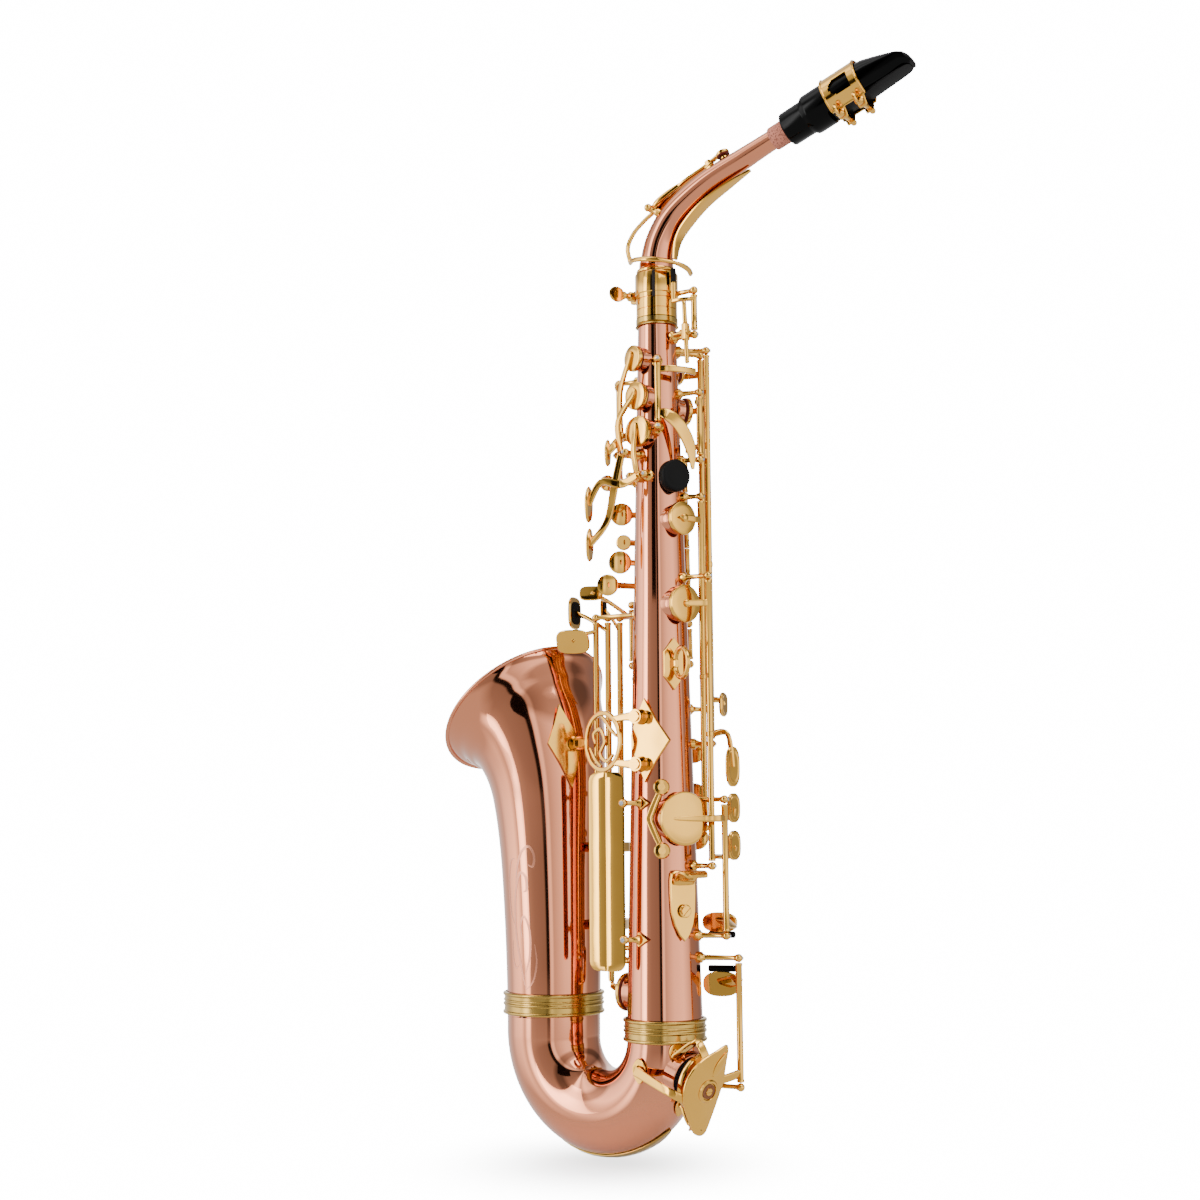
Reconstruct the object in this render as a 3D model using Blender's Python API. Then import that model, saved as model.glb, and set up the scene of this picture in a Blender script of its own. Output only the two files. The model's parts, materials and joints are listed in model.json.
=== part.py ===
"""Alto saxophone. Sizes are in millimetres and are scaled to metres when each mesh is made.

Origin: centre of the strap ring. +Z runs up the body tube, +X points to the player,
-X to the bell, -Y to the player's left hand.
"""
import math

import bmesh
import bpy
from mathutils import Matrix, Vector

# Driving dimensions, in millimetres
body_length = 465.0         # from the bow ferrule's middle to the receiver's lower edge
body_top_radius = 12.6
body_bottom_radius = 24.4
wall = 0.9
gap = 0.3                   # between pieces that touch on the real instrument
receiver_length = 31.0
receiver_wall = 2.4
tenon_radius = 11.6
bell_offset = 94.7          # from the body's axis to the bell's axis at the bow
bow_end_radius = 31.2
bell_seam = 10.5            # height of the joint between bow and bell, above the body's joint
bell_rim_radius = 60.5
bell_height = 211.0         # of the rim's centre above the bow ferrules
bell_lean = 31.0            # how far the rim's centre leans out
bell_twist = 9.0            # degrees, rim turned to the player's right
neck_turn = 8.0             # degrees, neck turned to the player's right
mouthpiece_length = 91.0
chimney_height = 3.2
chimney_wall = 1.1
pad_lift = 0.4              # clearance under a closed pad
cup_height = 5.2
rod_radius = 2.1
post_ball = 2.7
post_radius = 1.9
plate = 1.6                 # thickness of sheet-metal arms and touches
tube_sides = 20
hole_sides = 10
small_sides = 8

layout_length = 465.0       # the tube length that the stations below are drawn for
UP = Vector((0, 0, 1))


def along(station):
    """Height of a station on the body tube."""
    return station * body_length / layout_length


def body_radius(z):
    """Outer radius of the body tube at a height."""
    share = min(max(z / body_length, 0), 1)
    return body_bottom_radius + (body_top_radius - body_bottom_radius) * share


def at(angle, radius, z):
    """Point at an angle about the body's axis, in degrees from +X."""
    turn = math.radians(angle)
    return Vector((radius * math.cos(turn), radius * math.sin(turn), z))


def off_body(angle, height, z):
    """Point a given height above the body tube's surface."""
    return at(angle, body_radius(z) + height, z)


# Shapes: each returns (corners, faces) of one closed body


def square_frame(direction, guide):
    """Two unit vectors across a direction, the first as near to the guide as it can be."""
    first = guide - direction * guide.dot(direction)
    if first.length < 1e-6:
        first = direction.orthogonal()
    first.normalize()
    return first, direction.cross(first)


def path_directions(points):
    """Direction of a path at each of its points."""
    found = []
    for index in range(len(points)):
        before = points[max(index - 1, 0)]
        after = points[min(index + 1, len(points) - 1)]
        found.append((after - before).normalized())
    return found


def skin(rings):
    """Closed body through rings of equal length, with flat ends."""
    sides = len(rings[0])
    corners = [corner for ring in rings for corner in ring]
    faces = [tuple(reversed(range(sides)))]
    for level in range(len(rings) - 1):
        low = level * sides
        for side in range(sides):
            after = (side + 1) % sides
            faces.append((low + side, low + after, low + sides + after, low + sides + side))
    last = (len(rings) - 1) * sides
    faces.append(tuple(range(last, last + sides)))
    return corners, faces


def swept(points, radii, sides=small_sides, guide=Vector((0, 1, 0.01))):
    """Round bar along a path, with a radius at each point."""
    rings = []
    for point, direction, radius in zip(points, path_directions(points), radii):
        first, second = square_frame(direction, guide)
        ring = []
        for side in range(sides):
            turn = 2 * math.pi * (side + 0.5) / sides
            ring.append(point + (first * math.cos(turn) + second * math.sin(turn)) * radius)
        rings.append(ring)
    return skin(rings)


def rod(start, end, radius=rod_radius, sides=small_sides):
    """Straight round bar."""
    return swept([start, end], [radius, radius], sides, guide=Vector((0.02, 1, 0.03)))


def bar(points, widths, thickness, face):
    """Flat bar along a path; face is the direction that its broad side looks in."""
    rings = []
    for point, direction, width in zip(points, path_directions(points), widths):
        out, across = square_frame(direction, face)
        half = out * thickness / 2
        side = across * width / 2
        rings.append([point + half + side, point - half + side, point - half - side, point + half - side])
    return skin(rings)


def turned(profile, base, axis, sides=hole_sides):
    """Solid of revolution; profile is (radius, height) from the lower end to the upper, off the axis."""
    axis = axis.normalized()
    first, second = square_frame(axis, Vector((0.013, 0.031, 1)))
    rings = []
    for radius, height in profile:
        ring = []
        for side in range(sides):
            turn = 2 * math.pi * side / sides
            out = first * math.cos(turn) + second * math.sin(turn)
            ring.append(base + axis * height + out * radius)
        rings.append(ring)
    return skin(rings)


def ball(centre, radius=post_ball, sides=6):
    """Round knob."""
    profile = [(radius * math.sin(turn), -radius * math.cos(turn)) for turn in (0.6, 1.57, 2.54)]
    return turned(profile, centre, Vector((0.1, 0.05, 1)), sides)


def disc(centre, axis, radius, thickness, sides=hole_sides):
    """Flat round plate, from its lower face up."""
    return turned([(radius, 0), (radius, thickness)], centre, axis, sides)


def outlined(outline, centre, right, up, thickness):
    """Plate cut to an outline, in a plane through the centre, half its thickness each way."""
    out = right.cross(up).normalized() * thickness / 2
    ring = [centre + right * across + up * rise for across, rise in outline]
    return skin([[corner - out for corner in ring], [corner + out for corner in ring]])


def oval(width, height, sides=12, power=1.0):
    """Outline of an ellipse, squarer as the power falls."""
    found = []
    for side in range(sides):
        turn = 2 * math.pi * side / sides
        across = math.copysign(abs(math.cos(turn)) ** power, math.cos(turn))
        rise = math.copysign(abs(math.sin(turn)) ** power, math.sin(turn))
        found.append((width / 2 * across, height / 2 * rise))
    return found


def ring_of(centre, axis, radius, width, thickness, sides=16):
    """Closed hoop with a square section."""
    axis = axis.normalized()
    first, second = square_frame(axis, Vector((0.013, 0.031, 1)))
    section = [(-width / 2, -thickness / 2), (width / 2, -thickness / 2),
               (width / 2, thickness / 2), (-width / 2, thickness / 2)]
    corners = []
    faces = []
    for side in range(sides):
        turn = 2 * math.pi * side / sides
        out = first * math.cos(turn) + second * math.sin(turn)
        for across, rise in section:
            corners.append(centre + out * (radius + across) + axis * rise)
    for side in range(sides):
        low = 4 * side
        high = 4 * ((side + 1) % sides)
        for corner in range(4):
            after = (corner + 1) % 4
            faces.append((low + corner, low + after, high + after, high + corner))
    return corners, faces


# Objects


def mesh_object(name, shape):
    corners, faces = shape
    mesh = bpy.data.meshes.new(name)
    mesh.from_pydata([tuple(corner * 0.001) for corner in corners], [], faces)
    outward = bmesh.new()
    outward.from_mesh(mesh)
    bmesh.ops.recalc_face_normals(outward, faces=outward.faces)
    outward.to_mesh(mesh)
    outward.free()
    made = bpy.data.objects.new(name, mesh)
    bpy.context.scene.collection.objects.link(made)
    return made


def apply_boolean(target, shape, operation, solver):
    """Joins a shape to an object or cuts it away."""
    helper = mesh_object("helper", shape)
    helper.hide_render = True
    helper.display_type = "WIRE"
    modifier = target.modifiers.new("combine", "BOOLEAN")
    modifier.operation = operation
    modifier.solver = solver
    modifier.object = helper
    graph = bpy.context.evaluated_depsgraph_get()
    graph.update()
    result = bpy.data.meshes.new_from_object(target.evaluated_get(graph))
    target.modifiers.clear()
    old = target.data
    target.data = result
    bpy.data.meshes.remove(old)
    helper_mesh = helper.data
    bpy.data.objects.remove(helper, do_unlink=True)
    bpy.data.meshes.remove(helper_mesh)


def finish(colour, roughness=0.25, metallic=1.0):
    return {"colour": colour, "roughness": roughness, "metallic": metallic}


rose_lacquer = finish((0.78, 0.42, 0.32), 0.12)
gold_lacquer = finish((0.85, 0.66, 0.32), 0.2)
satin_brass = finish((0.62, 0.50, 0.25), 0.35)
black_resin = finish((0.02, 0.02, 0.02), 0.1, 0.0)
black_plastic = finish((0.03, 0.025, 0.03), 0.6, 0.0)
cork_sleeve = finish((0.45, 0.20, 0.13), 0.9, 0.0)
cane = finish((0.80, 0.66, 0.38), 0.6, 0.0)
pearl = finish((0.9, 0.88, 0.82), 0.2, 0.0)


def piece(name, shapes, look, cuts=(), pivot=None, turn=None, solver="EXACT"):
    """One sub-part: its shapes joined, its cuts taken away, and its origin at the pivot."""
    made = mesh_object(name, shapes[0])
    for shape in shapes[1:]:
        apply_boolean(made, shape, "UNION", solver)
    for shape in cuts:
        apply_boolean(made, shape, "DIFFERENCE", solver)
    made.name = name
    origin = pivot * 0.001 if pivot else Vector((0, 0, 0))
    made.data.transform(Matrix.Translation(-origin))
    if turn:
        made.data.transform(turn)
    made.location = origin
    made.parent = instrument
    material = bpy.data.materials.new(name)
    material.use_nodes = True
    shader = material.node_tree.nodes["Principled BSDF"]
    shader.inputs["Base Color"].default_value = (*look["colour"], 1)
    shader.inputs["Roughness"].default_value = look["roughness"]
    shader.inputs["Metallic"].default_value = look["metallic"]
    made.data.materials.clear()
    made.data.materials.append(material)
    made.data.shade_smooth()
    made.data.set_sharp_from_angle(angle=math.radians(35))
    return made


def moving(name, shapes, look, start, end, lift=None, rest=0.0, solver="EXACT"):
    """A sub-part that turns about the line from start to end.

    It is drawn shut. lift is a point on it and the way that point goes as it opens, and rest is
    the angle in degrees that it stands open.
    """
    pivot = (start + end) / 2
    axis = (end - start).normalized()
    if lift and axis.cross(lift[0] - pivot).dot(lift[1]) < 0:
        axis = -axis
    turn = Matrix.Rotation(math.radians(rest), 4, axis)
    made = piece(name, shapes, look, (), pivot, turn, solver)
    made["joint_axis"] = [round(value, 6) for value in axis]
    made["stands_open"] = rest
    return made


def post(foot, head, thick=post_radius):
    """Soldered pillar with a round head that holds the end of a hinge."""
    stem = swept([foot, head], [thick * 1.15, thick * 0.8], 5)
    return [stem, ball(head)]


def body_post(angle, height, z):
    """Post on the body tube."""
    return post(off_body(angle, -3, z), off_body(angle, height, z))


def hinge(start, end, room=post_ball + gap):
    """Hinge tube between two post heads."""
    direction = (end - start).normalized()
    return rod(start + direction * room, end - direction * room)


def cup(centre, out, radius):
    """Pad and its cup, with the pad's face at the centre, shut on its chimney."""
    base = centre + out * pad_lift
    profile = [(radius, 0), (radius, cup_height - 1.2), (radius * 0.8, cup_height)]
    return turned(profile, base, out)


def chimney(centre, out, radius, depth):
    """Outer wall of a tone hole."""
    return turned([(radius + chimney_wall, -depth), (radius + chimney_wall, 0)], centre, out)


def hole(centre, out, radius, depth):
    return turned([(radius, -depth - 2), (radius, 5)], centre, out)


# Tone holes on the body tube: angle, station, hole radius, cup radius
body_holes = {
    "high_f_sharp": (88, 430, 4.6, 6.6),
    "palm_f": (-106, 436, 6.4, 8.8),
    "palm_e_flat": (-96, 410, 7.0, 9.4),
    "palm_d": (-91, 386, 7.6, 10.2),
    "side_e": (62, 404, 6.8, 9.2),
    "c": (128, 359, 5.0, 7.2),
    "b": (128, 342, 6.2, 8.3),
    "bis": (128, 323, 6.4, 8.6),
    "side_c": (-10, 328, 8.4, 11.0),
    "a": (128, 303, 7.4, 9.6),
    "g": (128, 276.5, 8.2, 10.6),
    "side_b_flat": (-10, 272, 9.6, 12.4),
    "g_sharp": (128, 249, 9.0, 11.6),
    "f_sharp": (118, 212, 10.4, 13.0),
    "f": (118, 181, 11.4, 14.0),
    "e": (118, 149, 12.2, 15.0),
    "low_e_flat": (-22, 134, 14.0, 17.2),
    "d": (118, 116, 12.6, 15.6),
    "low_c_sharp": (180, 22, 10.4, 12.4),
}


def hole_top(name):
    """Middle of a tone hole's rim, its outward direction and its cup's radius."""
    angle, station, _, cup_radius = body_holes[name]
    z = along(station)
    return off_body(angle, chimney_height, z), at(angle, 1, 0), cup_radius


def body_cup(name):
    top, out, radius = hole_top(name)
    return cup(top, out, radius)


# The body tube and what is soldered to it

stack_angle = 84
stack_height = 9.5
lower_angle = 164
lower_height = 10.0
stack_posts = {"top": 369.6, "middle": 262.4, "low": 235.6}
lower_posts = {"top": 226.4, "low": 96}
thumb_lever_angle = -52
thumb_lever_height = 9.5
thumb_lever_stations = (433, 388)
table_rods = {
    "low_b_flat": (-51.0, -5.0, 268, 42),
    "low_b": (-46.0, 1.5, 268, 50),
    "low_c_sharp": (-41.0, 8.0, 268, 42),
    "g_sharp_touch": (-36.0, 15.0, 277, 236),
}
side_rods = {
    "side_e": (35, 32.5, 443, 182),
    "side_c": (24, 28.0, 344, 128),
    "side_b_flat": (7, 36.3, 290, 104),
    "high_f_sharp": (60, 31.0, 443, 205),
}
front_f_rod = (196, 28.0, 424, 356)
pinky_rods = {"low_e_flat": (15, 43.0, 146, 60), "low_c": (20, 49.5, 46, -34)}


def stack_point(station):
    return off_body(stack_angle, stack_height, along(station))


def lower_point(station):
    return off_body(lower_angle, lower_height, along(station))


def side_point(name, end):
    angle, radius, *stations = side_rods[name]
    station = stations[end]
    return at(angle, radius, along(station))


def pinky_point(name, end):
    angle, radius, *stations = pinky_rods[name]
    station = stations[end]
    return at(angle, radius, along(station) if station > 0 else station)


def table_point(name, end):
    x, y, *stations = table_rods[name]
    return Vector((x, y, along(stations[end])))


def front_f_point(end):
    angle, radius, *stations = front_f_rod
    return at(angle, radius, along(stations[end]))


palm_hinges = {
    "palm_d": (-92, 6.5, 357),
    "palm_e_flat": (-116, 12.0, 372),
    "palm_f": (-138, 10.0, 385),
}
palm_half = post_ball + 3.5


def palm_points(name):
    """Ends of a palm key's short hinge, which lies across the body."""
    angle, height, station = palm_hinges[name]
    middle = off_body(angle, height, along(station))
    across = at(angle + 90, 1, 0)
    return middle - across * palm_half, middle + across * palm_half


octave_points = {
    "pin": (at(3, 30, 0), 480, 450),
    "body": (at(18, 29, 0), 413, 368),
}


def octave_point(name, end):
    spot, *stations = octave_points[name]
    return Vector((spot.x, spot.y, along(stations[end])))


def foot_to(head, depth=3):
    """Foot of a post on the body tube, straight under its head."""
    angle = math.degrees(math.atan2(head.y, head.x))
    return off_body(angle, -depth, head.z)


def body_tube():
    low = Vector((0, 0, gap / 2))
    high = Vector((0, 0, body_length - gap))
    ends = [body_radius(low.z), body_radius(high.z)]
    shapes = [swept([low, high], ends, tube_sides)]
    cuts = [swept([low - UP * 9, high + UP * 9],
                  [body_radius(-9) - wall, body_radius(body_length + 9) - wall], tube_sides)]
    for name, (angle, station, radius, _) in body_holes.items():
        top, out, _ = hole_top(name)
        depth = chimney_height + body_radius(along(station)) * 0.45
        shapes.append(chimney(top, out, radius, depth))
        cuts.append(hole(top, out, radius, depth))
    for station in stack_posts.values():
        shapes += post(off_body(stack_angle, -3, along(station)), stack_point(station))
    for station in lower_posts.values():
        shapes += post(off_body(lower_angle, -3, along(station)), lower_point(station))
    for station in thumb_lever_stations:
        shapes += body_post(thumb_lever_angle, thumb_lever_height, along(station))
    for name in side_rods:
        for end in (0, 1):
            head = side_point(name, end)
            shapes += post(foot_to(head), head)
    for end in (0, 1):
        head = pinky_point("low_e_flat", end)
        shapes += post(foot_to(head), head)
    head = pinky_point("low_c", 0)
    shapes += post(foot_to(head), head)
    for name in table_rods:
        for end in (0, 1):
            head = table_point(name, end)
            shapes += post(foot_to(head), head)
    for name in palm_hinges:
        for head in palm_points(name):
            shapes += post(foot_to(head), head)
    heads = [octave_point("body", 0), octave_point("body", 1), octave_point("pin", 1)]
    heads += [front_f_point(0), front_f_point(1)]
    for head in heads:
        shapes += post(foot_to(head), head)
    shapes.append(rocker_stud())
    return piece("body_tube", shapes, rose_lacquer, cuts)


# Bow and bell


def bow_path(start, end, count=12):
    """Points of the U-shaped bow, from the body's side to the bell's, and their radii."""
    half = bell_offset / 2
    drop = 8.0
    points = []
    radii = []
    for index in range(count):
        share = start + (end - start) * index / (count - 1)
        turn = math.pi * min(max(share, 0), 1)
        point = Vector((-half + half * math.cos(turn), 0, -drop - half * math.sin(turn)))
        points.append(point)
        radii.append(body_bottom_radius + (bow_end_radius - body_bottom_radius) * share)
    return points, radii


def bow_frame(share, twist):
    """Centre of the bow at a share of its turn, the outward direction turned by the twist, and its radius."""
    half = bell_offset / 2
    turn = math.pi * share
    centre = Vector((-half + half * math.cos(turn), 0, -8.0 - half * math.sin(turn)))
    outward = Vector((math.cos(turn), 0, -math.sin(turn)))
    swing = math.radians(twist)
    out = outward * math.cos(swing) + Vector((0, -1, 0)) * math.sin(swing)
    radius = body_bottom_radius + (bow_end_radius - body_bottom_radius) * share
    return centre, out, radius


low_c_hole = (0.085, 11.0, 14.4, 18.0)      # share of the bow, twist, hole and cup radius


def bow_hole_top(spot):
    share, twist, hole_radius, cup_radius = spot
    centre, out, radius = bow_frame(share, twist)
    return centre + out * (radius + chimney_height), out, hole_radius, cup_radius


def bow():
    points, radii = bow_path(0, 1)
    top_body = Vector((0, 0, -gap / 2))
    top_bell = Vector((-bell_offset, 0, bell_seam - gap / 2))
    outer = [top_body] + points + [top_bell]
    outer_radii = [body_bottom_radius] + radii + [bow_end_radius]
    bore = [top_body + UP * 9] + points + [top_bell + UP * 9]
    bore_radii = [radius - wall for radius in outer_radii]
    shapes = [swept(outer, outer_radii, tube_sides)]
    cuts = [swept(bore, bore_radii, tube_sides)]
    top, out, hole_radius, _ = bow_hole_top(low_c_hole)
    depth = chimney_height + 9
    shapes.append(chimney(top, out, hole_radius, depth))
    cuts.append(hole(top, out, hole_radius, depth))
    head = pinky_point("low_c", 1)
    shapes += post(Vector((6, 16, head.z)), head)
    return piece("bow", shapes, rose_lacquer, cuts)


bell_lines = [(0.0, 0.0), (0.16, 0.0), (0.34, 0.03), (0.52, 0.07), (0.66, 0.12), (0.76, 0.19),
              (0.84, 0.32), (0.90, 0.49), (0.95, 0.72), (0.985, 0.91), (1.0, 1.0)]
bell_flare = [0.0, 0.02, 0.05, 0.105, 0.19, 0.29, 0.42, 0.555, 0.72, 0.91, 1.0]


def bell_path(extra=0.0):
    """Axis of the bell, which leans out towards its rim, with its outer radii."""
    twist = math.radians(bell_twist)
    points = []
    radii = []
    for (rise, lean), flare in zip(bell_lines, bell_flare):
        out = bell_lean * lean
        points.append(Vector((-bell_offset - out * math.cos(twist), out * math.sin(twist), bell_height * rise)))
        radii.append(bow_end_radius + (bell_rim_radius - bow_end_radius) * flare)
    points[0] = Vector((-bell_offset, 0, bell_seam + gap / 2))
    if extra:
        points[0] = points[0] - UP * extra
        tip = (points[-1] - points[-2]).normalized()
        points.append(points[-1] + tip * extra)
        radii.append(radii[-1] + extra * 0.8)
    return points, radii


bell_holes = {"low_b": (64, 17.5, 21.5), "low_b_flat": (116, 18.5, 22.5)}


def bell_spot(z):
    """Centre and outer radius of the bell at a height."""
    points, radii = bell_path()
    for index in range(len(points) - 1):
        if points[index].z <= z <= points[index + 1].z:
            break
    share = (z - points[index].z) / (points[index + 1].z - points[index].z)
    centre = points[index].lerp(points[index + 1], share)
    return centre, radii[index] + (radii[index + 1] - radii[index]) * share


def bell_hole_top(name):
    station, hole_radius, cup_radius = bell_holes[name]
    z = station * bell_height / 214
    centre, radius = bell_spot(z)
    out = Vector((0, 1, 0))
    return centre + out * (radius + chimney_height), out, hole_radius, cup_radius


def bell():
    points, radii = bell_path()
    shapes = [swept(points, radii, tube_sides)]
    bore_points, bore_radii = bell_path(6.0)
    cuts = [swept(bore_points, [radius - wall * 1.1 for radius in bore_radii], tube_sides)]
    for name in bell_holes:
        top, out, hole_radius, _ = bell_hole_top(name)
        depth = chimney_height + 12
        shapes.append(chimney(top, out, hole_radius, depth))
        cuts.append(hole(top, out, hole_radius, depth))
    return piece("bell", shapes, rose_lacquer, cuts)


def ferrule(name, centre, radius, low, high):
    """Band over a joint, with a raised bead at each edge."""
    inner = radius + gap
    band = [(inner + 1.4, low), (inner + 2.2, low + 1.2), (inner + 1.4, low + 2.4),
            (inner + 1.4, high - 2.4), (inner + 2.2, high - 1.2), (inner + 1.4, high)]
    shape = band_turned(band, centre)
    bore = swept([centre + UP * (low - 3), centre + UP * (high + 3)], [inner, inner], tube_sides)
    return piece(name, [shape], satin_brass, [bore])


def band_turned(profile, centre):
    points = [centre + UP * height for _, height in profile]
    return swept(points, [radius for radius, _ in profile], tube_sides)


def receiver():
    """Socket for the neck, split at the bell side, with two lugs for the clamp screw."""
    inner = tenon_radius + gap
    outer = inner + receiver_wall - gap
    low = body_length
    high = body_length + receiver_length
    profile = [(outer, low), (outer, low + 5.5), (outer - 0.7, low + 6), (outer - 0.7, low + 16),
               (outer + 0.4, low + 16.5), (outer + 0.4, high - 2), (outer - 0.4, high)]
    shapes = [band_turned([(radius, height) for radius, height in profile], Vector((0, 0, 0)))]
    lug = clamp_centre
    shapes.append(bar([lug + clamp_axis * 5.2, lug - clamp_axis * 5.2], [9.5, 9.5], 9.5, clamp_out))
    cuts = [swept([Vector((0, 0, low - 4)), Vector((0, 0, high + 4))], [inner, inner], tube_sides)]
    slit_low = at(clamp_angle, 19, low + 14)
    slit_high = at(clamp_angle, 19, high + 3)
    cuts.append(bar([slit_low, slit_high], [1.6, 1.6], 16, clamp_out))
    cuts.append(rod(lug + clamp_axis * 9, lug - clamp_axis * 9, clamp_screw_radius + gap, 8))
    head = octave_point("pin", 0)
    shapes += post(at(3, outer - 1.6, head.z), head)
    return piece("neck_receiver", shapes, satin_brass, cuts)


clamp_angle = 165
clamp_out = at(clamp_angle, 1, 0)
clamp_axis = at(clamp_angle - 90, 1, 0)
clamp_centre = at(clamp_angle, tenon_radius + receiver_wall + 4.4, body_length + receiver_length - 12)
clamp_screw_radius = 1.7


def clamp_screw():
    """Thumb screw through the receiver's lugs; its paddle stands to the player's left."""
    near = -clamp_axis
    start = clamp_centre - near * 6.5
    end = clamp_centre + near * 15
    shapes = [rod(start, end, clamp_screw_radius),
              disc(clamp_centre + near * 5.8, near, 3.4, 4.0, 8),
              outlined(oval(13, 11, 10), clamp_centre + near * 19.5, near, UP, 3.0)]
    return moving("neck_clamp_screw", shapes, gold_lacquer, start, end)


# Neck, mouthpiece and what they carry

neck_plane = Matrix.Rotation(math.radians(neck_turn), 3, "Z")
neck_line = [(0.0, -26, 11.6), (0.0, 3.2, 11.6), (0.4, 6, 11.2), (1.4, 14, 10.7), (4.6, 24, 10.2),
             (12.0, 36, 9.6), (23.5, 46, 9.0), (42.0, 57.0, 8.2), (66.0, 66.7, 7.2), (87.0, 75.0, 6.5),
             (116.0, 86.26, 6.2)]
neck_base = body_length + receiver_length


def on_neck(reach, rise, side=0.0):
    """Point in the neck's own plane: reach towards the player, rise above the receiver, side to the right."""
    return neck_plane @ Vector((reach, side, 0)) + UP * (neck_base + rise)


cork_start = on_neck(88.5, 75.58)
cork_end = on_neck(115.5, 86.07)
neck_axis = (cork_end - cork_start).normalized()
neck_side = (neck_plane @ Vector((0, 1, 0))).normalized()
neck_top = neck_side.cross(neck_axis).normalized() * -1
cork_radius = 7.9


def neck_tube():
    points = [on_neck(reach, rise) for reach, rise, _ in neck_line]
    radii = [radius for _, _, radius in neck_line]
    shapes = [swept(points, radii, 16)]
    collar = [(12.6, neck_base + 0.4), (13.4, neck_base + 1.4), (12.6, neck_base + 3.0)]
    shapes.append(swept([UP * height for _, height in collar], [radius for radius, _ in collar], 16))
    bore = [points[0] - UP * 5] + points + [points[-1] + neck_axis * 5]
    bore_radii = [radii[0] - wall] + [radius - wall for radius in radii] + [radii[-1] - wall]
    pip = on_neck(*neck_hole)
    out = (neck_up_at_hole).normalized()
    shapes.append(turned([(2.4, -3), (2.4, 9.6)], pip, out, 8))
    cuts = [swept(bore, bore_radii, 16), turned([(1.2, 0), (1.2, 14)], pip, out, 6)]
    for head in neck_key_hinge:
        foot = pivot_foot + (head - (neck_key_hinge[0] + neck_key_hinge[1]) / 2) * 0.5
        shapes += post(foot, head)
    return piece("neck_tube", shapes, rose_lacquer, cuts)


hoop_centre = Vector((2.4, 1.8, 0))
hoop_radius = 20.2
neck_hole = (56.0, 62.7)
neck_up_at_hole = neck_plane @ Vector((-0.38, 0, 0.925))
pivot_foot = on_neck(6.0, 40.0)
neck_key_hinge = (on_neck(-0.6, 44.0, -9.0), on_neck(-0.6, 44.0, 9.0))


def neck_cork():
    sleeve = rod(cork_start, cork_end, cork_radius, 20)
    bore = rod(cork_start - neck_axis * 6, cork_end + neck_axis * 6, 6.5 + gap, 20)
    return piece("neck_cork", [sleeve], cork_sleeve, [bore])


def neck_brace():
    """Flat stay under the neck's curve."""
    points = [on_neck(14.5, 8), on_neck(17.0, 20), on_neck(24.0, 30), on_neck(38.0, 42), on_neck(56.0, 51.5),
              on_neck(72.0, 58.5)]
    return piece("neck_brace", [bar(points, [7, 9, 12, 12, 9, 5], 2.0, neck_plane @ Vector((0.7, 0, -0.7)))],
                 gold_lacquer)


def neck_octave_key():
    """Long spring key on top of the neck, ending below in the ring that the octave pin lifts."""
    start, end = neck_key_hinge
    middle = (start + end) / 2
    out = neck_up_at_hole.normalized()
    pad = on_neck(*neck_hole) + out * (9.6 + gap)
    crown = pad + out * 3.2
    shapes = [hinge(start, end, post_ball + gap)]
    shapes.append(turned([(4.6, 0), (4.6, 3.4)], pad, out, 10))
    top = [middle, on_neck(9.0, 50), on_neck(22.0, 59.0), on_neck(38.0, 67.0), crown]
    shapes.append(bar(top, [5, 6, 5, 4, 4], 2.0, neck_up_at_hole))
    hoop = []
    for step in range(11):
        hoop.append(hoop_centre + at(218 + step * 17.5, hoop_radius, neck_base + 9 - step * 0.95))
    loop = [middle, on_neck(-8, 37, -3), on_neck(-13.0, 28, -8), on_neck(-15.5, 18, -11), hoop[0]]
    shapes.append(swept(loop, [2.0] * len(loop), 6))
    shapes.append(swept(hoop, [2.0] * len(hoop), 6, guide=UP))
    return moving("neck_octave_key", shapes, gold_lacquer, start, end, (pad, out))


mouth_start = on_neck(99.0, 79.65)
shank_bore = cork_radius + gap


def mouth_point(distance, rise=0.0, side=0.0):
    """Point in the mouthpiece's own frame: distance from its shank end, rise off its axis."""
    return mouth_start + neck_axis * distance + neck_top * rise + neck_side * side


def mouthpiece():
    """Resin mouthpiece, beak above and flat table below, with a bore for the cork and a tone chamber."""
    length = mouthpiece_length
    profile = [(10.4, 0), (11.2, 0.8), (11.4, 15.5), (13.2, 17.5), (13.4, 20), (13.3, 44), (12.6, length * 0.67)]
    shapes = [turned(profile, mouth_start, neck_axis, 20)]
    beak = [(length * 0.655, 11.6, -7.6, 11.6), (length * 0.76, 8.6, -7.9, 11.2), (length * 0.9, 3.6, -8.3, 9.0),
            (length, -5.6, -8.6, 6.8)]
    rings = []
    for distance, top, bottom, half in beak:
        ring = []
        for step in range(10):
            turn = 2 * math.pi * (step + 0.5) / 10
            across = half * math.cos(turn)
            middle = (top + bottom) / 2
            lift = middle + (top - bottom) / 2 * max(min(math.sin(turn) * 1.25, 1), -1)
            ring.append(mouth_point(distance, lift, across))
        rings.append(ring)
    shapes.append(skin(oriented(rings, neck_axis)))
    table = bar([mouth_point(32, -13.2), mouth_point(length + 6, -13.2)], [34, 34], 8.6, neck_top)
    bore = turned([(shank_bore, -4), (shank_bore, 24), (6.2, 26), (6.2, length * 0.62)], mouth_start, neck_axis, 20)
    window = bar([mouth_point(length * 0.6, -5.5), mouth_point(length * 0.93, -8)], [10, 10], 9, neck_top)
    return piece("mouthpiece", shapes, black_resin, [table, bore, window])


def oriented(rings, direction):
    """Rings turned the way that makes a skin along the direction face out."""
    ring = rings[0]
    normal = (ring[1] - ring[0]).cross(ring[2] - ring[1])
    if normal.dot(direction) > 0:
        return rings
    return [list(reversed(ring)) for ring in rings]


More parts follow.
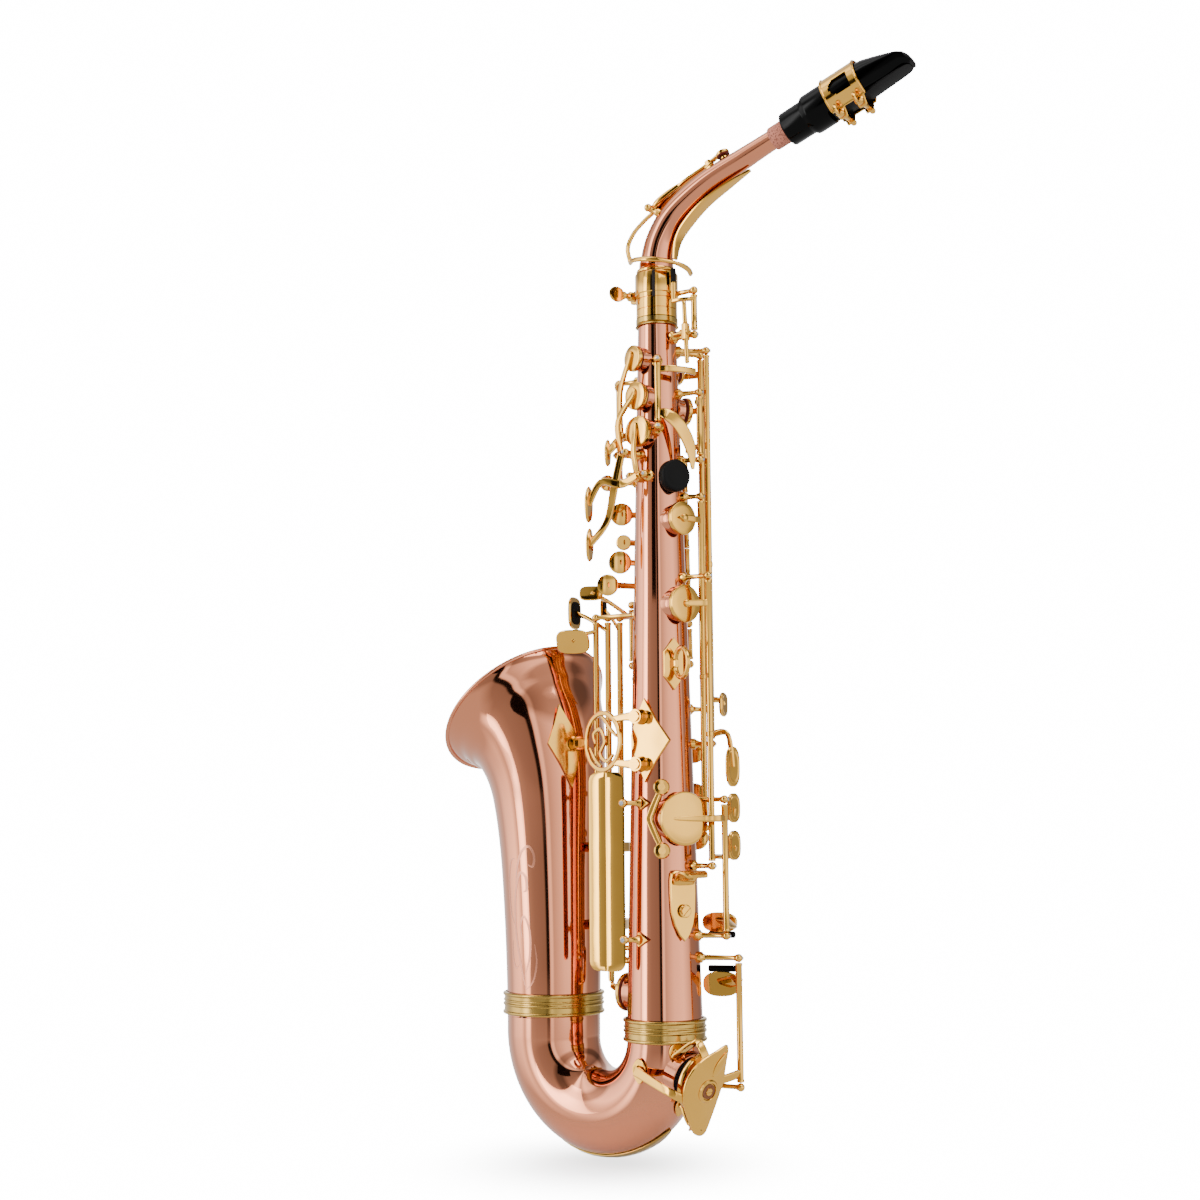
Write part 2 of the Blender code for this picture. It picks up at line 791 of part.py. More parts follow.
reed_height = -8.9 - gap


def reed():
    """Cane reed under the table, thick at its heel and thin at its tip."""
    length = mouthpiece_length
    start = mouth_point(33, reed_height - 1.4)
    middle = mouth_point(length * 0.68, reed_height - 1.4)
    shapes = [bar([start, middle], [12.5, 13.5], 2.8, neck_top)]
    rings = []
    for distance, thick in ((length * 0.66, 2.7), (length * 0.82, 1.4), (length - 1.5, 0.5)):
        low = reed_height - thick
        half = 6.9
        rings.append([mouth_point(distance, reed_height, half), mouth_point(distance, low, half),
                      mouth_point(distance, low, -half), mouth_point(distance, reed_height, -half)])
    shapes.append(skin(oriented(rings, neck_axis)))
    return piece("reed", shapes, cane)


ligature_start = 33.5
ligature_length = 25.0
ligature_screw_spots = (ligature_start + 5.5, ligature_start + ligature_length - 5.5)


def ligature_line():
    """Outline of the ligature's band around the mouthpiece, flat under the reed."""
    inner = 13.45 + gap
    points = []
    for step in range(15):
        turn = math.radians(-52 + step * (284 / 14))
        points.append((inner * math.cos(turn), inner * math.sin(turn)))
    return points


def ligature():
    """Metal band with lugs below for its two screws."""
    line = ligature_line()
    outline = line + [(across * 1.085, rise * 1.085) for across, rise in reversed(line)]
    middle = mouth_point(ligature_start + ligature_length / 2)
    shapes = [outlined(outline, middle, neck_side, neck_top, ligature_length)]
    for side in (-1, 1):
        top = mouth_point(ligature_start + ligature_length / 2, line[0][1] + 0.4, side * 9.0)
        low = mouth_point(ligature_start + ligature_length / 2, line[0][1] - 7.6, side * 4.2)
        shapes.append(bar([top, low], [ligature_length, ligature_length], 1.6, neck_side))
    bridge = [mouth_point(ligature_start + ligature_length / 2, -13.3, side * 6.4) for side in (-1, 1)]
    shapes.append(bar(bridge, [ligature_length, ligature_length], 1.2, neck_top))
    cuts = []
    for spot in ligature_screw_spots:
        start = mouth_point(spot, ligature_screw_rise, -14)
        end = mouth_point(spot, ligature_screw_rise, 14)
        cuts.append(rod(start, end, 1.5 + gap))
    return piece("ligature", shapes, gold_lacquer, cuts)


ligature_screw_rise = -15.4


def ligature_screw(name, spot):
    """Thumb screw across the ligature's lugs."""
    start = mouth_point(spot, ligature_screw_rise, 12)
    end = mouth_point(spot, ligature_screw_rise, -12)
    out = -neck_side
    shapes = [rod(start, end, 1.5)]
    shapes.append(disc(mouth_point(spot, ligature_screw_rise, -8.9), out, 3.0, 2.6, 8))
    paddle = mouth_point(spot, ligature_screw_rise, -15.5)
    shapes.append(outlined(oval(9, 8, 10), paddle, out, neck_top, 2.4))
    return moving(name, shapes, gold_lacquer, start, end)


# Octave mechanism

thumb_rest_spot = (-21, 356)


def octave_thumb_lever():
    start = off_body(thumb_lever_angle, thumb_lever_height, along(thumb_lever_stations[1]))
    end = off_body(thumb_lever_angle, thumb_lever_height, along(thumb_lever_stations[0]))
    shapes = [hinge(start, end)]
    z = end.z - 7
    reach = [at(-52, end.xy.length, z), at(-30, end.xy.length + 2.2, z), at(-8, end.xy.length + 3.4, z),
             at(10, end.xy.length + 5.0, z)]
    shapes.append(bar(reach, [4.5, 4.5, 4.5, 4.5], 2.0, Vector((0.9, -0.4, 0))))
    z = start.z + 9
    blade = [at(-52, start.xy.length, z), at(-38, 26.0, z - 2), at(-20, 27.0, z - 9), at(-3, 27.5, z - 22),
             at(1, 28.0, z - 37)]
    shapes.append(bar(blade, [6, 8, 9, 8, 4], plate, Vector((0.93, -0.35, 0))))
    return moving("octave_thumb_lever", shapes, gold_lacquer, start, end)


def octave_pin_lever():
    """Swinging pin that lifts the neck key's ring."""
    start, end = octave_point("pin", 1), octave_point("pin", 0)
    z = end.z - 6
    pin = at(-12.5, 17.6, z)
    shapes = [hinge(start, end), bar([at(3, 30, z), at(-5, 25, z), pin], [5, 5, 4], 2.4, UP)]
    shapes.append(rod(pin - UP * 1.0, pin + UP * 22.0, 1.7))
    return moving("octave_pin_lever", shapes, gold_lacquer, start, end)


def octave_rocker():
    """Floating lever that shares the thumb's push between the neck key and the body key."""
    top, low = at(-7, 25.4, along(472)), at(-7, 27.6, along(431))
    middle = (top + low) / 2
    out = at(-7, 1, 0)
    shapes = [rod(low, top, 1.7), disc(middle - out * 4.2, out, 2.4, 7.2, 8)]
    start = middle - out * 4.2
    return moving("octave_rocker", shapes, gold_lacquer, start, middle + out * 3.0)


def rocker_stud():
    """Pillar on the body that the rocker turns on."""
    middle = (at(-7, 25.4, along(472)) + at(-7, 27.6, along(431))) / 2
    out = at(-7, 1, 0)
    return rod(middle - out * 16, middle - out * (4.2 + gap), 1.6)


def body_octave_key():
    """Small key over the upper body's octave vent."""
    start, end = octave_point("body", 1), octave_point("body", 0)
    z = start.z + 10
    top = off_body(46, 3.4, z)
    out = at(46, 1, 0)
    shapes = [hinge(start, end), turned([(3.6, 0), (3.6, 3.6)], top + out * gap, out, 10)]
    shapes.append(bar([Vector((start.x, start.y, z)), at(32, 26.0, z), top + out * 3.2], [4, 4, 4], 2.0, at(35, 1, 0)))
    z = end.z - 8
    shapes.append(bar([Vector((start.x, start.y, z)), at(4, 30.0, z)], [4, 4], 2.0, at(10, 1, 0)))
    return moving("body_octave_key", shapes, gold_lacquer, start, end, (top, out))


# Keys on the upper body


def touch_plate(centre, right, up, width, height, thickness=plate * 1.3):
    return outlined(oval(width, height, 12, 0.8), centre, right, up, thickness)


def crown_of(name):
    top, out, _ = hole_top(name)
    return top + out * (pad_lift + cup_height)


def palm_key(name, over, waypoints, touch, width, height):
    """Palm key: cup above its short hinge, curved arm and touch below it."""
    start, end = palm_points(name)
    middle = (start + end) / 2
    _, out, _ = hole_top(name)
    crown = crown_of(name)
    shapes = [hinge(start, end), body_cup(name)]
    upper = [middle, over or middle.lerp(crown, 0.5) + out * 3.0, crown + out * 0.6]
    shapes.append(bar(upper, [4, 4, 3], 2.6, out))
    lower = [middle] + waypoints + [touch]
    shapes.append(bar(lower, [4] * len(lower), 2.6, Vector((0.5, -0.8, 0.1))))
    right = Vector((0.35, -0.93, 0)).normalized()
    shapes.append(touch_plate(touch, right, UP, width, height))
    return moving(name + "_key", shapes, gold_lacquer, start, end, (crown, out))


def palm_keys():
    palm_key("palm_d", None, [at(-100, 33, along(350)), at(-116, 42, along(352))],
             at(-123, 48.5, along(338)), 12, 24)
    palm_key("palm_e_flat", at(-115, 29.5, along(393)), [at(-120, 31, along(352)), at(-130, 35, along(328))],
             at(-128, 47, along(312)), 11, 22)
    palm_key("palm_f", at(-129, 25.5, along(414)), [at(-126, 29, along(380))], at(-124, 35.0, along(373)), 9, 18)


def front_f_key():
    start, end = front_f_point(1), front_f_point(0)
    touch = at(190, 39, start.z + 2)
    low = start + UP * 5
    high = end - UP * 5
    shapes = [hinge(start, end), bar([low, low.lerp(touch, 0.6), touch], [4, 5, 6], 2, UP)]
    shapes.append(disc(touch - at(150, 1, 0) * 1.2, at(150, 1, 0), 5.5, 2.4, 12))
    tip = at(-136, 24, high.z + 4)
    shapes.append(bar([high, at(-150, 27, high.z + 2), tip], [4, 4, 3], 2.0, UP))
    return moving("front_f_key", shapes, gold_lacquer, start, end, (touch, at(150, 1, 0)))


finger_open = 7.0       # degrees that the finger keys stand open
pearl_look = 140
pearl_thick = 4.0


def turned_spot(spot, start, end, crown, out, angle):
    """Where a point of a key goes as the key opens by an angle in degrees, or shuts if it is negative."""
    axis = (end - start).normalized()
    if axis.cross(crown - start).dot(out) < 0:
        axis = -axis
    return start + Matrix.Rotation(math.radians(angle), 3, axis) @ (spot - start)


def stack_key(name, low, high, point, pearl_spot=None, pearl_radius=8.0, look=pearl_look, rest=finger_open):
    """Finger key on a shared hinge line: hinge tube, arm, cup and, where it has one, its pearl's holder."""
    start, end = point(low), point(high)
    station = body_holes[name][1]
    _, out, radius = hole_top(name)
    crown = crown_of(name)
    base = point(min(max(station, low + 3.5), high - 3.5))
    across = (crown - base).normalized()
    arm = [base, crown - across * radius * 0.7 + out * 1.4, crown + out * 0.3 + across * radius * 0.3]
    shapes = [hinge(start, end, gap / 2), body_cup(name), bar(arm, [5, 5, 3.4], plate * 1.4, out)]
    if pearl_spot:
        angle, pearl_height, touch_station = pearl_spot
        facing = at(look, 1, 0)
        centre = off_body(angle, pearl_height, along(touch_station)) - facing * pearl_thick
        centre = turned_spot(centre, start, end, crown, out, -rest)
        base = point(min(max(touch_station, low + 2.4), high - 2.4))
        over = off_body(body_holes[name][0], 13.6, centre.z)
        shapes.append(bar([base, over, centre + facing * 0.8], [3.6, 3.6, 3.6], 2.4, out))
        shapes.append(disc(centre, facing, pearl_radius, pearl_thick - 0.8, 14))
    return moving(name + "_key", shapes, gold_lacquer, start, end, (crown, out), rest)


def upper_stack():
    room = post_ball + gap
    stack_key("c", 350.8, stack_posts["top"] - room, stack_point)
    stack_key("b", 332.4, 350.8, stack_point, (176, 19.0, 337), 7.6)
    stack_key("bis", 313, 332.4, stack_point, (174, 18.0, 318), 5.2)
    stack_key("a", 292.8, 313, stack_point, (176, 20.0, 304.7), 7.7)
    stack_key("g", stack_posts["middle"] + room, 292.8, stack_point, (188, 24.0, 289.0), 7.7)
    stack_key("g_sharp", stack_posts["low"] + room, stack_posts["middle"] - room, stack_point, rest=0.0)


def lower_stack():
    room = post_ball + gap
    stack_key("f_sharp", 197.6, lower_posts["top"] - room, lower_point)
    stack_key("f", 165, 197.6, lower_point, (90, 15.5, 178), 8.0, 108)
    stack_key("e", 133, 165, lower_point, (90, 15.5, 149), 8.0, 108)
    stack_key("d", lower_posts["low"] + room, 133, lower_point, (90, 16.6, 121), 8.0, 108)


# Left hand table and the long rods to the bell

bell_open = 7.0


def table_key(name, touch, right, up, size, lift, arms, rest=0.0, width=5.0,
              solver="EXACT"):
    """Touch of the left little finger's table with its long rod and what the rod works."""
    start, end = table_point(name, 1), table_point(name, 0)
    knuckle = end - UP * 9
    shapes = [hinge(start, end)]
    shapes.append(bar([knuckle, knuckle.lerp(touch, 0.6) + UP * 1.5, touch], [width] * 3, 2.4, Vector((0.3, 0.5, 0.8))))
    shapes.append(outlined(oval(size[0], size[1], 12, 0.6), touch, right, up, 2.4))
    shapes += arms
    full_name = name if "touch" in name else name + "_key"
    return moving(full_name, shapes, gold_lacquer, start, end, lift, rest, solver)


def bell_key_arms(name):
    """Arm and cup of a key on the bell, reached from its rod between body and bell."""
    top, out, _, radius = bell_hole_top(name)
    x, y, *_ = table_rods[name]
    crown = top + out * (pad_lift + cup_height)
    centre, bell_size = bell_spot(top.z)
    start = Vector((x, y, top.z))
    swing = [start, Vector((x - 6, y + 16, top.z)), Vector((centre.x + 32, bell_size + 2, top.z)),
             Vector((centre.x + 18, crown.y + 1.0, top.z)), crown + out * 0.4]
    return [cup(top, out, radius), bar(swing, [7, 7, 7, 6, 5], 2.6, Vector((0.5, 0.8, 0)))], (crown, out)


def low_c_sharp_arms():
    _, out, _ = hole_top("low_c_sharp")
    crown = crown_of("low_c_sharp")
    x, y, *_ = table_rods["low_c_sharp"]
    base = table_point("low_c_sharp", 1) + UP * 6
    reach = [base, Vector((x - 6, y - 2, base.z - 3)), Vector((x - 6, y - 4, crown.z + 4)), crown + out * 0.4]
    return [body_cup("low_c_sharp"), bar(reach, [5, 5, 5, 4], 2.6, Vector((-0.6, 0.1, 0.8)))], (crown, out)


def left_table():
    arms, lift = bell_key_arms("low_b_flat")
    flat_right = Vector((0.83, 0.55, 0)).normalized()
    table_key("low_b_flat", Vector((-61, -17, 252)), flat_right, Vector((0.25, -0.35, 0.9)).normalized(),
              (23, 17), lift, arms, bell_open)
    arms, lift = bell_key_arms("low_b")
    side_right = Vector((0.42, -0.9, 0)).normalized()
    table_key("low_b", Vector((-71, -6, 272)), side_right, UP, (20, 24), lift, arms, bell_open)
    arms, lift = low_c_sharp_arms()
    table_key("low_c_sharp", Vector((-60, 14, 276)), side_right, UP, (13, 15), lift, arms,
              solver="MANIFOLD")
    start = table_point("g_sharp_touch", 1)
    nudge = start + UP * 6
    arm = bar([nudge, Vector((-26, 24, nudge.z)), Vector((-23.5, 27.5, nudge.z))], [4, 4, 4], 2.4, Vector((0.6, 0.7, 0)))
    touch = Vector((-55, -5, 285))
    table_key("g_sharp_touch", touch, flat_right, Vector((-0.2, 0.3, 0.9)).normalized(), (16, 11),
              (touch, Vector((-0.5, 0.8, 0))), [arm], width=4.0)


# Right hand side keys


def side_key(name, touch_top, touch_low, out_angle, out_radius):
    """Long rod with a cup near its top and a touch for the side of the hand at its foot."""
    start, end = side_point(name, 1), side_point(name, 0)
    _, out, radius = hole_top(name)
    crown = crown_of(name)
    station = min(crown.z, end.z - 6)
    base = Vector((start.x, start.y, station))
    across = (crown - base).normalized()
    arm = [base, crown - across * radius * 0.7 + out * 1.6, crown + out * 0.3 + across * radius * 0.3]
    shapes = [hinge(start, end), body_cup(name), bar(arm, [5, 5, 3.4], plate * 1.4, out)]
    top, low = along(touch_top), along(touch_low)
    low_level = start + UP * 6
    finger = at(out_angle, out_radius, top)
    shapes.append(bar([low_level, at(out_angle, out_radius - 3.0, low_level.z), finger.lerp(at(out_angle, out_radius, low), 0.5)],
                      [5, 5, 5], 2.4, UP.lerp(Vector((0.4, 0.9, 0)), 0.5)))
    middle = at(out_angle, out_radius, (top + low) / 2)
    shapes.append(outlined(oval(9, top - low, 12, 0.7), middle, at(out_angle + 90, 1, 0), UP, 2.6))
    return moving(name + "_key", shapes, gold_lacquer, start, end, (crown, out), solver="MANIFOLD")


def side_keys():
    side_key("side_e", 180, 154, 30, 46.0)
    side_key("side_c", 150, 131, 34, 46.0)
    side_key("side_b_flat", 126, 107, 34, 46.0)
    side_key("high_f_sharp", 216, 200, 52, 42.0)


pinky_touch_angle = 50
pinky_touch_line = 15       # way the touches and their rollers run
low_c_open = 10.0


def low_e_flat_key():
    start, end = pinky_point("low_e_flat", 1), pinky_point("low_e_flat", 0)
    _, out, radius = hole_top("low_e_flat")
    crown = crown_of("low_e_flat")
    base = Vector((start.x, start.y, crown.z))
    across = (crown - base).normalized()
    clear = Vector((base.x + 0.8, base.y - 8.0, base.z))
    arm = [base, clear, crown - across * radius * 0.6 + out * 2.4, crown + out * 0.3 + across * radius * 0.3]
    shapes = [hinge(start, end), body_cup("low_e_flat"), bar(arm, [5, 5, 5, 3], plate * 1.4, out)]
    knuckle = start + UP * 7
    touch = at(pinky_touch_angle, 37, knuckle.z)
    shapes.append(bar([knuckle, at(32, 44, knuckle.z), touch], [6, 8, 10], 2.4, UP.lerp(at(40, 1, 0), 0.5)))
    shapes.append(outlined(oval(24, 13, 12, 0.8), touch, at(pinky_touch_line, 1, 0), UP, 2.4))
    return moving("low_e_flat_key", shapes, gold_lacquer, start, end, (crown, out))


def low_c_key():
    start, end = pinky_point("low_c", 1), pinky_point("low_c", 0)
    top, out, _, radius = bow_hole_top(low_c_hole)
    crown = top + out * (pad_lift + cup_height)
    base = Vector((start.x, start.y, crown.z + 4))
    shapes = [hinge(start, end), cup(top, out, radius)]
    shapes.append(bar([base, base.lerp(crown, 0.5) + out * 2.0, crown + out * 0.4], [6, 6, 5], 2.4, out))
    knuckle = end - UP * 12
    touch = at(pinky_touch_angle - 2, 41, knuckle.z - 6)
    shapes.append(bar([knuckle, at(34, 47, knuckle.z - 3), touch], [6, 8, 10], 2.4, UP.lerp(at(40, 1, 0), 0.5)))
    shapes.append(outlined(oval(24, 16, 12, 0.8), touch, at(pinky_touch_line, 1, 0), UP, 2.4))
    return moving("low_c_key", shapes, gold_lacquer, start, end, (crown, out), low_c_open)


def pinky_rollers():
    """Rollers between the two right hand little finger touches."""
    along_touch = at(pinky_touch_line, 9, 0)
    outward = at(pinky_touch_line + 90, 3.6, 0)
    centre = at(pinky_touch_angle, 37.0, along(67) - 8) + outward
    start, end = centre - along_touch, centre + along_touch
    moving("e_flat_roller", [rod(start, end, roller_radius)], black_plastic, start, end)
    top, out, _, _ = bow_hole_top(low_c_hole)
    centre = at(pinky_touch_angle - 2, 41.0, along(46) - 8.5) + outward
    ends = []
    for spot in (centre - along_touch, centre + along_touch):
        ends.append(turned_spot(spot, pinky_point("low_c", 1), pinky_point("low_c", 0), top, out, low_c_open))
    moving("c_roller", [rod(*ends, roller_radius)], black_plastic, *ends)


roller_radius = 2.2


# Pieces screwed or soldered to the body


def thumb_hook():
    """Curved metal hook for the right thumb, on a plate."""
    angle = -22
    out = at(angle, 1, 0)
    across = at(angle + 90, 1, 0)
    top, low = along(104), along(58)
    middle = off_body(angle, gap + 1.6, (top + low) / 2)
    outline = [(0, -24), (5, -17), (8.5, -6), (9, 14), (8, 20), (-8, 20), (-9, 14), (-8.5, -6), (-5, -17)]
    shapes = [outlined(outline, middle + out * 1.0, across, UP, 3.0)]
    face = middle + out * 0.5
    lip = [face + UP * 13, face + UP * 17 + out * 5, face + UP * 19.5 + out * 11, face + UP * 17 + out * 17]
    shapes.append(bar(lip, [15, 16, 17, 16], 2.6, UP))
    cuts = [rod(middle - out * 6 - UP * 5, middle + out * 12 - UP * 5, 2.0 + gap, 10)]
    piece("thumb_hook", shapes, gold_lacquer, cuts)
    screw = [rod(middle - out * 1.0 - UP * 5, middle + out * 4.0 - UP * 5, 2.0, 10),
             disc(middle + out * (2.5 + gap) - UP * 5, out, 4.0, 1.6, 12)]
    piece("thumb_hook_screw", screw, gold_lacquer)


thumb_rest_radius = 10.6
thumb_rest_face = 9.0


def thumb_rest():
    angle, station = thumb_rest_spot
    out = at(angle, 1, 0)
    base = off_body(angle, gap, along(station))
    profile = [(thumb_rest_radius - 1.5, 0.6), (thumb_rest_radius, 2.0), (thumb_rest_radius, thumb_rest_face - 1),
               (thumb_rest_radius - 1.2, thumb_rest_face)]
    saddle = swept([UP * (along(station) - 20), UP * (along(station) + 20)],
                   [body_radius(along(station) - 20) + gap, body_radius(along(station) + 20) + gap], tube_sides)
    return piece("thumb_rest", [turned(profile, base - out * 1.2, out, 20)], black_plastic, [saddle])


strap_angle = -27
strap_station = 233
strap_ring_radius = 9.6
strap_ring_bar = 3.2


def strap_ring():
    """Ring for the strap's hook, upright on a soldered plate."""
    out = at(strap_angle, 1, 0)
    across = at(strap_angle + 90, 1, 0)
    z = along(strap_station)
    middle = off_body(strap_angle, gap + 1.2, z)
    outline = [(0, 17), (7, 8), (7, -8), (0, -17), (-7, -8), (-7, 8)]
    shapes = [outlined(outline, middle, across, UP, 2.2)]
    shapes.append(bar([middle, strap_centre() - out * strap_ring_radius * 0.9], [6, 6], 3.4, across))
    shapes.append(ring_of(strap_centre(), across, strap_ring_radius, strap_ring_bar, 3.4))
    return piece("strap_ring", shapes, gold_lacquer)


def strap_centre():
    return off_body(strap_angle, gap + 3.0 + strap_ring_radius, along(strap_station))


brace_z = 184.0


def bell_brace():
    """Ring brace between body and bell, held by two bosses on the body and a foot on the bell."""
    toward = at(180 + 14, 1, 0)
    toward.y = abs(toward.y)
    out = Vector((-toward.y, toward.x, 0))
    z = along(brace_z)
    radius = body_radius(z)
    plate_angle = -82
    face = at(plate_angle, 1, 0)
    across = at(plate_angle + 90, 1, 0)
    seat = off_body(plate_angle, gap + 0.9, z)
    outline = [(15, 0), (0, 27), (-13, 4), (-13, -4), (0, -27)]
    shapes = [outlined(outline, seat + face * 0.6, across, UP, 2.2)]
    centre = Vector((-28.0, -radius - 6.5, z))
    hoop = ring_of(centre, out, brace_ring_radius - 1.6, 3.4, 2.6, 20)
    shapes.append(hoop)
    for rise in (15.2, -15.2):
        boss = seat + face * 1.0 + UP * rise - across * 3.0
        head = boss + face * 8.5
        shapes.append(rod(boss, head, 4.6, 10))
        arm_start = head - face * 1.8
        edge = centre - toward * brace_ring_radius * 0.62 + UP * rise * 0.92
        shapes.append(bar([arm_start, edge], [6, 5], 2.4, out))
    spot, bell_size = bell_spot(z)
    aim = (centre + toward * 4 - spot)
    aim.z = 0
    aim.normalize()
    seat = spot + aim * (bell_size + gap + 1.4)
    shapes.append(outlined([(0, 24), (9, 0), (0, -26), (-9, 0)], seat, UP.cross(aim), UP, 2.0))
    shapes.append(rod(seat, seat + aim * 7.5, 4.4, 10))
    shapes.append(bar([seat + aim * 5.5, centre + toward * (brace_ring_radius - 2)], [7, 7], 3, out))
    return piece("bell_brace", shapes, gold_lacquer)


brace_ring_radius = 20.0


def rod_guard_plate():
    """Long facetted plate that keeps clothing off the rods between body and bell."""
    low, high = along(38), along(164)
    face_angle = -76
    face = at(face_angle, 1, 0)
    across = at(face_angle + 90, 1, 0)
    middle = Vector((-19.5, -33.5, (low + high) / 2))
    height = high - low
    outline = [(-12.5, -height / 2 + 8), (-6, -height / 2), (6, -height / 2), (12.5, -height / 2 + 8),
               (12.5, height / 2 - 8), (6, height / 2), (-6, height / 2), (-12.5, height / 2 - 8)]
    shapes = [outlined(outline, middle, across, UP, 2.0)]
    for station in (144, 58):
        z = along(station)
        head = middle + across * 12
        head.z = z
        foot = off_body(-93, gap + 1.8, z)
        shapes.append(swept([foot, head], [2.6, 2.2], 8))
        shapes.append(ball(head, 3.0))
        shapes.append(outlined([(0, 5), (8, 0), (0, -5), (-4, 0)], foot - at(-93, 0.3, 0), at(-3, 1, 0), UP, 1.8))
    return piece("rod_guard_plate", shapes, gold_lacquer)


def low_c_guard():
    """Leaf-shaped plate over the low C cup, on three feet."""
    centre, out, _ = bow_frame(low_c_hole[0], low_c_hole[1])
    middle = centre + out * low_c_guard_height
    up = (UP - out * out.z).normalized()
    right = up.cross(out).normalized()
    middle -= right * 4
    outline = [(-12, -18), (-4, -28), (4, -28), (9, -18), (13, -6), (14, 4), (13, 16), (11, 28), (3, 24),
               (-6, 19), (-12, 9), (-14, -4)]
    shapes = [outlined(outline, middle, right, up, 2.0)]
    shapes.append(turned([(7.5, -3.4), (7.5, 1.8)], middle, out, 12))
    feet = [((-12, -6), (-27, -2, 39), (0.10, 86)), ((-4, 20), (-10, 28, 38), (0.02, 36)),
            ((-1, -24), (-4, -27, 38), (0.17, 10))]
    for (side, rise), (bend_side, bend_rise, bend_height), (share, twist) in feet:
        start = middle + right * side + up * rise
        bend = centre + out * bend_height + right * bend_side + up * bend_rise
        foot_centre, foot_out, foot_radius = bow_frame(share, twist)
        foot = foot_centre + foot_out * (foot_radius + gap + foot_room)
        shapes.append(bar([start, bend, foot], [6, 6, 6], 2.2, out.lerp(foot_out, 0.3)))
    return piece("low_c_guard", shapes, gold_lacquer, solver="MANIFOLD")


low_c_guard_height = 46.5
foot_room = 4.2


def low_e_flat_guard():
    """Bent wire guard beside the low E flat cup, on two posts."""
    z = along(134)
    ends = [off_body(-53, 5.0, z + 20), off_body(-53, 5.0, z - 20)]
    apex = off_body(-70, 3.6, z)
    shapes = [bar([ends[0], apex + UP * 3, apex - UP * 3, ends[1]], [3.4, 4, 4, 3.4], 2.4, at(-60, 1, 0))]
    for end in ends:
        angle = -53
        shapes.append(swept([off_body(angle, gap, end.z), end], [3.2, 2.2], 8))
        shapes.append(ball(end, 3.1))
    return piece("low_e_flat_guard", shapes, gold_lacquer)


def bell_key_guard():
    """Guard over the two cups on the bell, on four legs."""
    low_spot, low_size = bell_spot(along_bell(32))
    high_spot, high_size = bell_spot(along_bell(150))
    y = bell_hole_top("low_b_flat")[0].y + cup_height + bell_guard_room
    x = low_spot.x
    rail = [Vector((x, low_size + gap, low_spot.z)), Vector((x, y - 4, low_spot.z + 2)),
            Vector((x, y, low_spot.z + 12)), Vector((x, y, high_spot.z - 12)),
            Vector((x, y - 4, high_spot.z - 2)), Vector((x, high_size + 1.0, high_spot.z))]
    shapes = [bar(rail, [8, 8, 8, 8, 8, 8], 2.2, Vector((0, 1, 0.2)))]
    for name in bell_holes:
        top, _, _, radius = bell_hole_top(name)
        spot = Vector((x, y - 2.0, top.z))
        shapes.append(turned([(8, 0), (8, 4.0)], spot, Vector((0, 1, 0)), 12))
        centre, size = bell_spot(top.z)
        edge = Vector((x - size * 0.9 - 3, 8 + size * 0.3, top.z))
        shapes.append(bar([spot + Vector((0, 1, 0)), Vector((x - radius - 5, y - 5, top.z)), edge],
                          [6, 6, 6], 2.2, Vector((-0.3, 1, 0))))
    return piece("bell_key_guard", shapes, gold_lacquer)


bell_guard_room = 12.0


def along_bell(height):
    return height * bell_height / 214


def bow_guard_plate():
    """Strip of metal soldered along the underside of the bow."""
    points, radii = bow_path(0.26, 0.74, 9)
    middle = Vector((-bell_offset / 2, 0, -8.0))
    strip = []
    for point, radius in zip(points, radii):
        out = (point - middle).normalized()
        strip.append(point + out * (radius + gap + 0.9))
    widths = [4, 10, 15, 18, 19, 18, 15, 10, 4]
    shape = ribbon(strip, widths, 1.4, middle)
    return piece("bow_guard_plate", [shape], satin_brass)


def ribbon(points, widths, thickness, middle):
    """Flat strip round a bend, its broad side facing away from the middle."""
    rings = []
    for point, width in zip(points, widths):
        out = (point - middle).normalized() * thickness / 2
        side = Vector((0, 1, 0)) * width / 2
        rings.append([point + out + side, point + out - side, point - out - side, point - out + side])
    return skin(oriented(rings, points[1] - points[0]))


instrument = None


def clear_scene():
    for found in list(bpy.data.objects):
        bpy.data.objects.remove(found, do_unlink=True)
    for found in list(bpy.data.meshes):
        bpy.data.meshes.remove(found)


def main():
    global instrument
    clear_scene()
    instrument = bpy.data.objects.new("saxophone", None)
    bpy.context.scene.collection.objects.link(instrument)
    body_tube()
    bow()
    bell()
    ferrule("body_bow_ferrule", Vector((0, 0, 0)), body_bottom_radius + 0.2, -7.0, 8.0)
    ferrule("bell_bow_ferrule", Vector((-bell_offset, 0, bell_seam)), bow_end_radius + 0.6, -6.0, 9.0)
    receiver()
    clamp_screw()
    neck_tube()
    neck_cork()
    neck_brace()
    neck_octave_key()
    mouthpiece()
    reed()
    ligature()
    for number, spot in enumerate(ligature_screw_spots, 1):
        ligature_screw(f"ligature_screw_{number}", spot)
    octave_thumb_lever()
    octave_pin_lever()
    octave_rocker()
    body_octave_key()
    palm_keys()
    front_f_key()
    upper_stack()
    lower_stack()
    left_table()
    side_keys()
    low_e_flat_key()
    low_c_key()
    pinky_rollers()
    thumb_hook()
    thumb_rest()
    strap_ring()
    bell_brace()
    rod_guard_plate()
    low_c_guard()
    low_e_flat_guard()
    bell_key_guard()
    bow_guard_plate()
    instrument.location = -strap_centre() * 0.001


main()
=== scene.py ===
import json
import math
import bmesh
import bpy
from mathutils import Matrix, Vector


